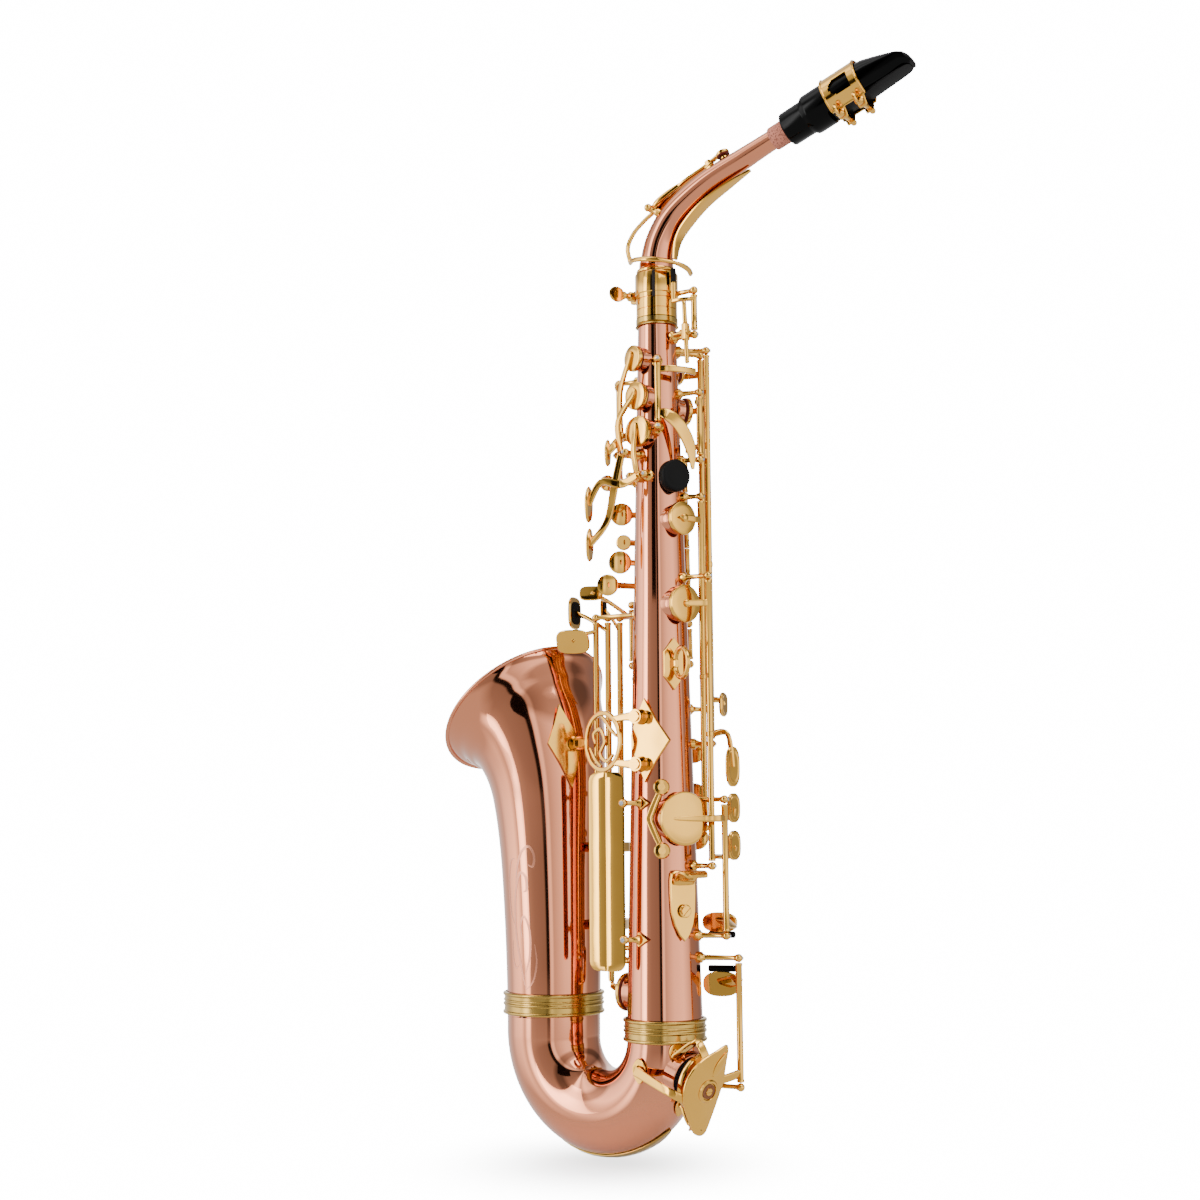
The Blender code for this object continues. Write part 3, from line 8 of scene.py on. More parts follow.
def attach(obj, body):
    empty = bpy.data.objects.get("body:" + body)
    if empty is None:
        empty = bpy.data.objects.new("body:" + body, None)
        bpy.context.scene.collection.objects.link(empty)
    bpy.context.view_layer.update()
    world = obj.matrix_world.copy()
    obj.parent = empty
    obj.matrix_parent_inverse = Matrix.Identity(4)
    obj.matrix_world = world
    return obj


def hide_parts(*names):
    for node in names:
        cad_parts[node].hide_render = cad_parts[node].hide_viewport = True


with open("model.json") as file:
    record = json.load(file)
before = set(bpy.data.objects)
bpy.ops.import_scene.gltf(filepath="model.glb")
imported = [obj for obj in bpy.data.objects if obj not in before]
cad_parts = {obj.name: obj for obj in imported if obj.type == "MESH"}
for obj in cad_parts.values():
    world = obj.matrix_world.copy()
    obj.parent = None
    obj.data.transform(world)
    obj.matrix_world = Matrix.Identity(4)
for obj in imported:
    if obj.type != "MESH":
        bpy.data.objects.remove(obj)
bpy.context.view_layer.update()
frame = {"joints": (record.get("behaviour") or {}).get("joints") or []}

print("stage: frame loaded")

jointOf = {joint["child"]: joint for joint in frame["joints"]}
bodyLength = 465.0  # bow ferrule to receiver, mm
receiverLength = 31.0
neckBase = bodyLength + receiverLength
origin = Vector(jointOf["neck"]["pos_m"]) * 1000 - Vector((0, 0, neckBase))  # foot of the body tube
up = Vector((0, 0, 1))
gap = 0.3  # between pieces that seat on each other
padLift = 0.4  # pad above its chimney when shut
cupHeight = 5.2
chimneyHeight = 3.2


# materials

def linear(hexCode):
    found = []
    for index in (0, 2, 4):
        value = int(hexCode[index:index + 2], 16) / 255
        found.append(value / 12.92 if value <= 0.04045 else ((value + 0.055) / 1.055) ** 2.4)
    return (*found, 1.0)


def addNode(tree, kind, settings=(), links=()):
    node = tree.nodes.new(kind)
    for key, value in dict(settings).items():
        if isinstance(key, str) and hasattr(node, key):
            setattr(node, key, value)
        else:
            node.inputs[key].default_value = value
    for socket, source in dict(links).items():
        tree.links.new(source, node.inputs[socket])
    return node


def newMaterial(name, colour, roughness, metallic, coat=0.0):
    material = bpy.data.materials.new(name)
    material.use_nodes = True
    shader = material.node_tree.nodes["Principled BSDF"]
    shader.inputs["Base Color"].default_value = linear(colour)
    shader.inputs["Roughness"].default_value = roughness
    shader.inputs["Metallic"].default_value = metallic
    shader.inputs["Coat Weight"].default_value = coat
    shader.inputs["Coat Roughness"].default_value = 0.03
    return material, material.node_tree, shader


def variedMetal(name, colour, second, roughness, coat, scale, spread):
    material, tree, shader = newMaterial(name, colour, roughness, 1.0, coat)
    place = addNode(tree, "ShaderNodeTexCoord")
    cloud = addNode(tree, "ShaderNodeTexNoise", {"Scale": scale, "Detail": 4.0},
                    {"Vector": place.outputs["Object"]})
    blendTo = addNode(tree, "ShaderNodeMix", {"data_type": "RGBA"}, {0: cloud.outputs["Fac"]})
    blendTo.inputs[6].default_value = linear(colour)
    blendTo.inputs[7].default_value = linear(second)
    tree.links.new(blendTo.outputs[2], shader.inputs["Base Color"])
    rough = addNode(tree, "ShaderNodeMapRange",
                    {"To Min": roughness - spread, "To Max": roughness + spread},
                    {"Value": cloud.outputs["Fac"]})
    tree.links.new(rough.outputs[0], shader.inputs["Roughness"])
    wave = addNode(tree, "ShaderNodeTexNoise", {"Scale": scale, "Detail": 1.0},
                   {"Vector": place.outputs["Object"]})
    bump = addNode(tree, "ShaderNodeBump", {"Strength": 1.0, "Distance": 0.012 / scale},
                   {"Height": wave.outputs["Fac"]})
    tree.links.new(bump.outputs["Normal"], shader.inputs["Normal"])
    return material


def corkMaterial():
    material, tree, shader = newMaterial("speckledCork", "A4624E", 0.85, 0.0)
    place = addNode(tree, "ShaderNodeTexCoord")
    specks = addNode(tree, "ShaderNodeTexVoronoi", {"Scale": 900.0}, {"Vector": place.outputs["Object"]})
    ramp = addNode(tree, "ShaderNodeValToRGB", (), {"Fac": specks.outputs["Distance"]})
    ramp.color_ramp.elements[0].color = linear("5A2A20")
    ramp.color_ramp.elements[0].position = 0.12
    ramp.color_ramp.elements[1].color = linear("B8705A")
    ramp.color_ramp.elements[1].position = 0.5
    tree.links.new(ramp.outputs["Color"], shader.inputs["Base Color"])
    bump = addNode(tree, "ShaderNodeBump", {"Strength": 0.4, "Distance": 0.0003},
                   {"Height": specks.outputs["Distance"]})
    tree.links.new(bump.outputs["Normal"], shader.inputs["Normal"])
    return material


def darkPlastic(name, colour, roughness, specular):
    material, tree, shader = newMaterial(name, colour, roughness, 0.0)
    shader.inputs["Specular IOR Level"].default_value = specular
    return material


def grainMaterial(name, colour, dark, roughness, scale):
    material, tree, shader = newMaterial(name, colour, roughness, 0.0)
    place = addNode(tree, "ShaderNodeTexCoord")
    grain = addNode(tree, "ShaderNodeTexNoise", {"Scale": scale, "Detail": 6.0},
                    {"Vector": place.outputs["Object"]})
    blendTo = addNode(tree, "ShaderNodeMix", {"data_type": "RGBA"}, {0: grain.outputs["Fac"]})
    blendTo.inputs[6].default_value = linear(dark)
    blendTo.inputs[7].default_value = linear(colour)
    tree.links.new(blendTo.outputs[2], shader.inputs["Base Color"])
    bump = addNode(tree, "ShaderNodeBump", {"Strength": 0.25, "Distance": 0.0002},
                   {"Height": grain.outputs["Fac"]})
    tree.links.new(bump.outputs["Normal"], shader.inputs["Normal"])
    shader.inputs["Specular IOR Level"].default_value = 0.1
    return material


metals = {  # colour, second colour, roughness, lacquer coat, noise scale per metre, roughness spread
    "rose": ("D08460", "C97A57", 0.06, 0.3, 9.0, 0.012),
    "gold": ("E6B04A", "D39A38", 0.1, 0.25, 40.0, 0.025),
    "satin": ("B8954C", "A68540", 0.2, 0.0, 60.0, 0.04),
    "engraved": ("CF8A6E", "C47E62", 0.34, 0.1, 60.0, 0.03),
    "steel": ("B9BCC0", "A4A7AB", 0.22, 0.0, 60.0, 0.04),
}
paint = {
    "rose": variedMetal("roseCopperLacquer", *metals["rose"]),
    "gold": variedMetal("goldLacqueredBrass", *metals["gold"]),
    "satin": variedMetal("satinBrass", *metals["satin"]),
    "engraved": variedMetal("engravedCopperLacquer", *metals["engraved"]),
    "steel": variedMetal("polishedSteel", *metals["steel"]),
    "leather": grainMaterial("padLeather", "6A2A22", "4A1813", 0.55, 500.0),
    "corkPad": grainMaterial("keyCork", "8A5A3C", "5C3824", 0.8, 700.0),
    "felt": grainMaterial("blackFelt", "1C1A1A", "0E0D0D", 0.95, 900.0),
    "cork": corkMaterial(),
    "reed": grainMaterial("compositeReed", "070606", "040303", 0.45, 260.0),
    "resin": darkPlastic("blackResin", "010101", 0.14, 0.08),
    "thumbPlastic": darkPlastic("mattBlackPlastic", "060505", 0.5, 0.1),
    "pearl": newMaterial("keyPearl", "EDE8DC", 0.15, 0.0, 0.5)[0],
    # painted shade: near-black colour laid on the floors of tone holes and other openings, standing in for
    # the shade inside them
    "dark": newMaterial("paintedHoleShade", "120806", 0.9, 0.0)[0],
}
print("stage: materials made")


# shapes in millimetres about the body's axis

def at(angle, radius, z):
    turn = math.radians(angle)
    return Vector((radius * math.cos(turn), radius * math.sin(turn), z))


tubeValues = {"lowRadius": 24.4, "taper": 11.8, "sides": 128, "wall": 0.9}


def bodyRadius(z):
    return tubeValues["lowRadius"] - tubeValues["taper"] * min(max(z / bodyLength, 0), 1)


def offBody(angle, height, z):
    return at(angle, bodyRadius(z) + height, z)


def spline(values, steps):
    last = len(values) - 1
    found = []
    for index in range(last):
        before, here = values[max(index - 1, 0)], values[index]
        after, later = values[index + 1], values[min(index + 2, last)]
        for step in range(steps):
            t = step / steps
            slope = after - before
            bend = before * 2 - here * 5 + after * 4 - later
            twist = here * 3 - before - after * 3 + later
            found.append((here * 2 + slope * t + bend * t * t + twist * t * t * t) * 0.5)
    found.append(values[last])
    return found


def across(direction, guide):
    first = guide - direction * guide.dot(direction)
    if first.length < 1e-5:
        first = direction.orthogonal()
    first.normalize()
    return first, direction.cross(first)


def headings(points):
    found = []
    for index in range(len(points)):
        step = points[min(index + 1, len(points) - 1)] - points[max(index - 1, 0)]
        found.append(step.normalized())
    return found


def skin(rings, caps=True, closed=False):
    sides = len(rings[0])
    corners = [corner for ring in rings for corner in ring]
    faces = []
    for level in range(len(rings) if closed else len(rings) - 1):
        low, high = level * sides, (level + 1) % len(rings) * sides
        for side in range(sides):
            after = (side + 1) % sides
            faces.append((low + side, low + after, high + after, high + side))
    if caps and not closed:
        faces.append(tuple(reversed(range(sides))))
        faces.append(tuple(range((len(rings) - 1) * sides, len(rings) * sides)))
    return corners, faces


def section(width, thick, sides, power):
    found = []
    for side in range(sides):
        turn = 2 * math.pi * (side + 0.5) / sides
        c, s = math.cos(turn), math.sin(turn)
        found.append((width / 2 * math.copysign(abs(c) ** power, c),
                      thick / 2 * math.copysign(abs(s) ** power, s)))
    return found


def sweep(points, widths, thick, face, steps=6, sides=16, power=0.45, caps=True):
    points = [Vector(point) for point in points]
    thicks = thick if isinstance(thick, list) else [thick] * len(points)
    path = spline(points, steps)
    rings = []
    for point, direction, width, depth in zip(path, headings(path),
                                              spline(widths, steps), spline(thicks, steps)):
        out, side = across(direction, face)
        rings.append([point + side * a + out * b for a, b in section(width, depth, sides, power)])
    if caps:
        for ring, end, sign in ((rings[0], path[0], -1), (rings[-1], path[-1], 1)):
            way = headings(path)[0 if sign < 0 else -1] * sign
            soft = [end + (corner - end) * 0.72 + way * min(thicks[0], thicks[-1]) * 0.22
                    for corner in ring]
            if sign < 0:
                rings.insert(0, soft)
            else:
                rings.append(soft)
    return skin(rings)


def wire(points, radii, steps=6, sides=16, guide=Vector((0.1, 1, 0.05))):
    return sweep(points, [radius * 2 for radius in radii], [radius * 2 for radius in radii], guide, steps,
                 sides, 1.0)


def lathe(profile, base, axis, sides=32, caps=True, closed=False):
    axis = axis.normalized()
    first, second = across(axis, Vector((0.013, 0.031, 1)))
    rings = []
    for radius, height in profile:
        ring = []
        for side in range(sides):
            turn = 2 * math.pi * side / sides
            ring.append(base + axis * height + (first * math.cos(turn) + second * math.sin(turn)) * radius)
        rings.append(ring)
    return skin(rings, caps, closed)


def ball(centre, radius=2.7, axis=up, sides=20):
    profile = [(radius * math.sin(turn), -radius * math.cos(turn))
               for turn in [0.15 + 0.2842 * n for n in range(11)]]
    return lathe(profile, centre, axis, sides)


def plate(outline, centre, right, rise, thick, soft=0.35, steps=0, dome=0.0):
    if steps:
        loop = [Vector((a, b)) for a, b in outline]
        loop = loop[-1:] + loop + loop[:2]
        outline = [tuple(point) for point in spline(loop, steps)[steps:-steps - 1]]
    out = right.cross(rise).normalized()
    middle = Vector((sum(a for a, b in outline), sum(b for a, b in outline))) / len(outline)
    reach = max((Vector(point) - middle).length for point in outline)
    rings = []
    for inset, level in ((soft, -thick / 2), (0, -thick / 2 + soft),
                         (0, thick / 2 - soft), (soft, thick / 2)):
        ring = []
        for point in outline:
            spot = middle + (Vector(point) - middle) * (1 - inset / reach)
            ring.append(centre + right * spot.x + rise * spot.y + out * level)
        rings.append(ring)
    if dome:
        for share, lift in ((0.8, 0.36), (0.55, 0.7), (0.28, 0.92), (0.08, 1.0)):
            ring = []
            for point in outline:
                spot = middle + (Vector(point) - middle) * share
                ring.append(centre + right * spot.x + rise * spot.y + out * (thick / 2 + dome * lift))
            rings.append(ring)
    return skin(rings)


def oval(width, height, sides=32, power=1.0):
    return [tuple(pair) for pair in section(width, height, sides, power)]


def hoop(centre, axis, radius, width, thick, sides=48, power=0.6):
    axis = axis.normalized()
    first, second = across(axis, Vector((0.013, 0.031, 1)))
    rings = []
    for side in range(sides):
        turn = 2 * math.pi * side / sides
        out = first * math.cos(turn) + second * math.sin(turn)
        rings.append([centre + out * (radius + a) + axis * b for a, b in section(width, thick, 12, power)])
    return skin(rings, closed=True)


def slottedScrew(centre, axis, radius, height, right):
    axis = axis.normalized()
    first, second = across(axis, right)
    shapes = [lathe([(radius * 0.96, -0.2), (radius, 0), (radius, height * 0.5)], centre, axis, 28)]
    for sign in (-1, 1):
        half = []
        for step in range(13):
            turn = math.radians(12 + step * 13)
            half.append((radius * math.cos(turn) * 0.98, radius * math.sin(turn) * 0.98))
        shapes.append(plate([(a, b * sign) for a, b in half][::sign], centre + axis * height * 0.72, first,
                            second, height * 0.5, 0.12))
    return shapes


def bentPlate(outline, seat, angle, reach, levels):
    out, right, radius = at(angle, 1, 0), at(angle + 90, 1, 0), bodyRadius(seat.z)
    rings = []
    for inset, level in levels:
        ring = []
        for a, b in outline:
            side = a * (1 - inset / reach[0])
            bend = radius - math.sqrt(radius ** 2 - side * side)
            ring.append(seat + right * side + up * b * (1 - inset / reach[1]) + out * (level - bend))
        rings.append(ring)
    return skin(rings)


def startPiece():
    return {"corners": [], "faces": [], "paints": []}


def add(piece, shapes, paintName="gold"):
    for corners, faces in (shapes if isinstance(shapes, list) else [shapes]):
        base = len(piece["corners"])
        piece["corners"] += corners
        piece["faces"] += [[base + index for index in face] for face in faces]
        piece["paints"] += [paintName] * len(faces)


def finishPiece(name, piece, body, nodes, sharp=32):
    mesh = bpy.data.meshes.new(name)
    mesh.from_pydata([tuple((corner + origin) * 0.001) for corner in piece["corners"]], [], piece["faces"])
    used = sorted(set(piece["paints"]), key=piece["paints"].index)
    for paintName in used:
        mesh.materials.append(paint[paintName])
    mesh.polygons.foreach_set("material_index", [used.index(paintName) for paintName in piece["paints"]])
    shell = bmesh.new()
    shell.from_mesh(mesh)
    bmesh.ops.recalc_face_normals(shell, faces=shell.faces)
    shell.to_mesh(mesh)
    shell.free()
    mesh.shade_smooth()
    mesh.set_sharp_from_angle(angle=math.radians(sharp))
    made = bpy.data.objects.new(name, mesh)
    bpy.context.scene.collection.objects.link(made)
    joint = jointOf.get(body)
    if joint and joint["type"] == "hinge" and not joint.get("continuous") and joint["range_deg"][1] == 0:
        pivot = Vector(joint["pos_m"])
        # drawn shut, rests open
        turn = Matrix.Rotation(math.radians(-joint["range_deg"][0]), 4, Vector(joint["axis"]))
        mesh.transform(Matrix.Translation(pivot) @ turn @ Matrix.Translation(-pivot))
    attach(made, body)
    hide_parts(*nodes)
    return made


# shared key parts

def finishKey(piece, name, node, ending="Key"):
    words = name.replace("_", " ").title().replace(" ", "")
    finishPiece(words + ending, piece, node, [node])


def post(foot, head, thick=1.9):
    way = head - foot
    length = way.length
    profile = [(thick * 1.9, 0), (thick * 1.9, 2.6), (thick * 1.25, 3.6), (thick * 0.95, 5.0),
               (thick * 0.8, max(length - 3.2, 5.4)), (thick * 1.05, max(length - 2.2, 5.8)),
               (thick * 0.8, max(length, 6.2))]
    return [lathe(profile, foot, way, 18), ball(head, 2.7, way)]


def footOf(head, depth=3):
    return offBody(math.degrees(math.atan2(head.y, head.x)), -depth, head.z)


def hingeTube(start, end, room=3.0, radius=2.1):
    way = (end - start).normalized()
    low, high = start + way * room, end - way * room
    length = (high - low).length
    profile = [(radius * 0.9, 0), (radius * 1.12, 0.3), (radius * 1.12, 1.6), (radius, 2.0),
               (radius, length - 2.0), (radius * 1.12, length - 1.6),
               (radius * 1.12, length - 0.3), (radius * 0.9, length)]
    return [lathe(profile, low, way, 20)]


def cupParts(piece, top, out, radius, ribs=True):
    base = top + out * padLift
    add(piece, lathe([(radius * 0.5, 0.25), (radius * 0.9, 0.0), (radius * 0.97, 0.5),
                      (radius * 0.97, 2.0)], base, out, 40), "leather")
    add(piece, lathe([(radius * 0.18, -0.15), (radius * 0.42, 0.05), (radius * 0.42, 0.5)], base, out, 24))
    profile = [(radius * 0.985, 1.3), (radius, 1.5), (radius, 3.5), (radius * 0.985, 4.0),
               (radius * 0.94, 4.3), (radius * 0.88, 4.35), (radius * 0.84, 4.5), (radius * 0.6, 4.8),
               (radius * 0.3, 4.95), (radius * 0.05, 5.0)]
    add(piece, lathe(profile, base, out, 48))


def armTo(piece, start, crown, out, radius, width=5.0, over=None):
    way = (crown - start).normalized()
    points = [start, crown - way * radius * 0.85 + out * 1.3, crown + out * 0.2,
              crown + way * radius * 0.45 + out * 0.1]
    widths = [width, width * 0.9, width * 0.8, 1.2]
    if over:
        points.insert(1, over)
        widths.insert(0, width)
    add(piece, sweep(points, widths, 2.2, out))
    add(piece, lathe([(2.6, -0.4), (2.6, 0.9), (1.8, 1.5), (0.4, 1.7)], crown, out, 20))


# angle, station, hole radius, cup radius
bodyHoles = {"high_f_sharp": (88, 430, 4.6, 6.6), "palm_f": (-106, 436, 6.4, 8.8),
             "palm_e_flat": (-96, 410, 7.0, 9.4), "palm_d": (-91, 386, 7.6, 10.2),
             "side_e": (62, 404, 6.8, 9.2), "c": (128, 359, 5.0, 7.2), "b": (128, 342, 6.2, 8.3),
             "bis": (128, 323, 6.4, 8.6), "side_c": (-10, 328, 8.4, 11.0), "a": (128, 303, 7.4, 9.6),
             "g": (128, 276.5, 8.2, 10.6), "side_b_flat": (-10, 272, 9.6, 12.4),
             "g_sharp": (128, 249, 9.0, 11.6), "f_sharp": (118, 212, 10.4, 13.0),
             "f": (118, 181, 11.4, 14.0), "e": (118, 149, 12.2, 15.0), "low_e_flat": (-22, 134, 14.0, 17.2),
             "d": (118, 116, 12.6, 15.6), "low_c_sharp": (180, 22, 10.4, 12.4)}
tableRods = {"low_b_flat": (-51.0, -5.0, 268, 42), "low_b": (-46.0, 1.5, 268, 50),
             "low_c_sharp": (-41.0, 8.0, 268, 42), "g_sharp_touch": (-36.0, 15.0, 277, 236)}
sideRods = {"side_e": (35, 32.5, 443, 182), "side_c": (24, 28.0, 344, 128),
            "side_b_flat": (7, 36.3, 290, 104), "high_f_sharp": (60, 31.0, 443, 205)}
pinkyRods = {"low_e_flat": (15, 43.0, 146, 60), "low_c": (20, 49.5, 46, -34)}
palmHinges = {"palm_d": (-92, 6.5, 357), "palm_e_flat": (-116, 12.0, 372), "palm_f": (-138, 10.0, 385)}
octaveRods = {"pin": (at(3, 30, 0), 480, 450), "body": (at(18, 29, 0), 413, 368)}
leverRod = (-52, 9.5, 433, 388)  # octave thumb lever
frontRod = (196, 28.0, 424, 356)
upperRod = (84, 9.5, (369.6, 262.4, 235.6))
lowerRod = (164, 10.0, (226.4, 96))


def holeTop(name):
    angle, z, _, radius = bodyHoles[name]
    return offBody(angle, chimneyHeight, z), at(angle, 1, 0), radius


def crownOf(name):
    top, out, _ = holeTop(name)
    return top + out * (padLift + cupHeight)


def rodEnds(table, name):
    first, second, high, low = table[name]
    if table is tableRods:
        return Vector((first, second, low)), Vector((first, second, high))
    return at(first, second, low), at(first, second, high)


def palmEnds(name):
    angle, height, z = palmHinges[name]
    middle = offBody(angle, height, z)
    return middle - at(angle + 90, 6.2, 0), middle + at(angle + 90, 6.2, 0)


# body tube

piece = startPiece()
outer = [[at(360 * side / tubeValues["sides"], bodyRadius(z), z) for side in range(tubeValues["sides"])]
         for z in (0.2, 60, 120, 180, 240, 300, 360, 420, 464.6)]
inner = [[corner - at(360 * side / tubeValues["sides"], tubeValues["wall"], 0)
          for side, corner in enumerate(ring)] for ring in reversed(outer)]
add(piece, skin(outer + inner, closed=True), "rose")
for name, (angle, z, radius, cupRadius) in bodyHoles.items():
    top, out, _ = holeTop(name)
    rim = radius + 1.1
    drop = bodyRadius(z) - math.sqrt(max(bodyRadius(z) ** 2 - rim ** 2, 1)) + 1
    profile = [(rim + 0.9, -chimneyHeight - drop), (rim + 0.3, -chimneyHeight + 1.0), (rim, -1.2),
               (rim, -0.3), (rim - 0.5, 0), (radius, -0.3), (radius, -2.4)]
    add(piece, lathe(profile, top, out, 48, caps=False), "rose")
    # painted shade: a dark disc sunk in each chimney stands in for the shade inside the open hole
    add(piece, lathe([(radius, -2.6), (radius, -2.4)], top, out, 32), "dark")
heads = []
for z in upperRod[2]:
    heads.append(offBody(upperRod[0], upperRod[1], z))
for z in lowerRod[2]:
    heads.append(offBody(lowerRod[0], lowerRod[1], z))
for z in leverRod[2:]:
    heads.append(offBody(leverRod[0], leverRod[1], z))
for name in sideRods:
    heads += rodEnds(sideRods, name)
heads += rodEnds(pinkyRods, "low_e_flat")
heads.append(rodEnds(pinkyRods, "low_c")[1])
for name in tableRods:
    heads += rodEnds(tableRods, name)
for name in palmHinges:
    heads += palmEnds(name)
spot, high, low = octaveRods["body"]
heads += [Vector((spot.x, spot.y, high)), Vector((spot.x, spot.y, low)), octaveRods["pin"][0] + up * 450]
heads += [at(frontRod[0], frontRod[1], frontRod[2]), at(frontRod[0], frontRod[1], frontRod[3])]
for head in heads:
    add(piece, post(footOf(head, 0.6), head))
    add(piece, lathe([(1.1, -0.2), (1.1, 0.5), (0.7, 0.8)], head + (head - footOf(head)).normalized() * 2.3,
                     head - footOf(head), 10), "steel")
rockerMiddle = (at(-7, 25.4, 472) + at(-7, 27.6, 431)) / 2
rockerOut = at(-7, 1, 0)
add(piece, lathe([(3.0, -12.2), (2.8, -11.2), (1.7, -10.2), (1.6, -4.5)], rockerMiddle, rockerOut, 18))
add(piece, lathe([(14.4, 459.5), (14.0, 460.5), (13.4, 461.0), (14.0, 461.5), (14.0, 464.6)], Vector(),
                 up, 96, caps=False), "satin")
finishPiece("bodyTube", piece, "body", ["body_tube"])
print("stage: body tube made")


# bow, bell and their ferrules

bowValues = {"offset": 94.7, "seam": 10.5, "drop": 8.0, "endRadius": 31.2, "sides": 112, "turns": 56}
half = bowValues["offset"] / 2


def bowFrame(share, twist):
    turn = math.pi * share
    centre = Vector((-half + half * math.cos(turn), 0, -bowValues["drop"] - half * math.sin(turn)))
    swing = math.radians(twist)
    outward = Vector((math.cos(turn), 0, -math.sin(turn)))
    radius = tubeValues["lowRadius"] + (bowValues["endRadius"] - tubeValues["lowRadius"]) * share
    return centre, outward * math.cos(swing) - Vector((0, 1, 0)) * math.sin(swing), radius


piece = startPiece()
rings = []
for step in range(bowValues["turns"] + 1):
    share = step / bowValues["turns"]
    ring = []
    for side in range(bowValues["sides"]):
        centre, out, radius = bowFrame(share, 360 * side / bowValues["sides"])
        ring.append(centre + out * radius)
    rings.append(ring)
rings.insert(0, [corner + up * 7.8 for corner in rings[0]])
rings.append([corner + up * (7.8 + bowValues["seam"]) for corner in rings[-1]])
add(piece, skin(rings, caps=False), "rose")
lowCHole = (0.085, 11.0, 14.4, 18.0)
bowCentre, bowOut, bowRadius = bowFrame(lowCHole[0], lowCHole[1])
lowCTop = bowCentre + bowOut * (bowRadius + chimneyHeight)
rim = lowCHole[2] + 1.1
add(piece, lathe([(rim + 0.9, -9), (rim + 0.2, -2.4), (rim, -0.4), (rim - 0.5, 0), (lowCHole[2], -0.3),
                  (lowCHole[2], -2.0)], lowCTop, bowOut, 56, caps=False), "rose")
# painted shade: a dark disc sunk in the chimney stands in for the shade inside the open hole
add(piece, lathe([(lowCHole[2], -2.2), (lowCHole[2], -2.0)], lowCTop, bowOut, 32), "dark")
lowCLow = rodEnds(pinkyRods, "low_c")[0]
add(piece, post(Vector((11, 13, lowCLow.z)), lowCLow))
finishPiece("bow", piece, "body", ["bow"])

bellValues = {"height": 211.0, "lean": 31.0, "twist": 9.0, "rimRadius": 60.5, "bead": 1.5,
              "wall": 0.9, "sides": 144}
bellLine = [(0.0, 0.0, 0.0), (0.16, 0.0, 0.02), (0.34, 0.03, 0.05), (0.52, 0.07, 0.105), (0.66, 0.12, 0.19),
            (0.76, 0.19, 0.29), (0.84, 0.32, 0.42), (0.90, 0.49, 0.555), (0.95, 0.72, 0.72),
            (0.985, 0.91, 0.91), (1.0, 1.0, 1.0)]


def bellAxis(rise, lean):
    out = bellValues["lean"] * lean
    turn = math.radians(bellValues["twist"])
    return Vector((-bowValues["offset"] - out * math.cos(turn), out * math.sin(turn),
                   bellValues["height"] * rise))


bellCentres = spline([bellAxis(rise, lean) for rise, lean, _ in bellLine], 6)
bellRadii = spline([bowValues["endRadius"] + (bellValues["rimRadius"] - bowValues["endRadius"]) * flare
                    for _, _, flare in bellLine], 6)
bellCentres[0] = Vector((-bowValues["offset"], 0, bowValues["seam"] + 0.2))


def bellSpot(z):
    for index in range(len(bellCentres) - 1):
        if bellCentres[index].z <= z <= bellCentres[index + 1].z:
            break
    low, high = bellCentres[index], bellCentres[index + 1]
    share = (z - low.z) / (high.z - low.z)
    return low.lerp(high, share), bellRadii[index] + (bellRadii[index + 1] - bellRadii[index]) * share


def bellRing(centre, direction, radius, lift=0.0):
    first, second = across(direction, Vector((0, 1, 0.01)))
    ring = []
    for side in range(bellValues["sides"]):
        turn = 2 * math.pi * side / bellValues["sides"]
        ring.append(centre + direction * lift + (first * math.cos(turn) + second * math.sin(turn)) * radius)
    return ring


piece = startPiece()
ways = headings(bellCentres)
ways[0] = up.copy()
outer = [bellRing(*spots) for spots in zip(bellCentres, ways, bellRadii)][:-2]
inner = [bellRing(centre, way, radius - bellValues["wall"])
         for centre, way, radius in zip(bellCentres, ways, bellRadii)][:-2]
bead = bellValues["bead"]
beadRings = []
for step in range(13):
    turn = math.radians(-150 + step * 25)
    beadRings.append(bellRing(bellCentres[-1], ways[-1],
                              bellValues["rimRadius"] - bead + bead * math.cos(turn),
                              -bead * 0.9 + bead * math.sin(turn)))
add(piece, skin(outer + beadRings + list(reversed(inner)), closed=True), "rose")
bellHoles = {"low_b": (63, 17.5, 21.5), "low_b_flat": (114.5, 18.5, 22.5)}


def bellHoleTop(name):
    z, holeRadius, cupRadius = bellHoles[name]
    centre, radius = bellSpot(z)
    return centre + Vector((0, radius + chimneyHeight, 0)), Vector((0, 1, 0)), holeRadius, cupRadius


for name in bellHoles:
    top, out, radius, _ = bellHoleTop(name)
    rim = radius + 1.1
    add(piece, lathe([(rim + 1.2, -10), (rim + 0.3, -2.6), (rim, -0.4), (rim - 0.5, 0), (radius, -0.3),
                      (radius, -2.0)], top, out, 56, caps=False), "rose")
    # painted shade: a dark disc sunk in each chimney stands in for the shade inside the open hole
    add(piece, lathe([(radius, -2.2), (radius, -2.0)], top, out, 40), "dark")


def onBell(angle, z, lift=0.05):
    centre, radius = bellSpot(z)
    return centre + at(angle, radius + lift, 0)


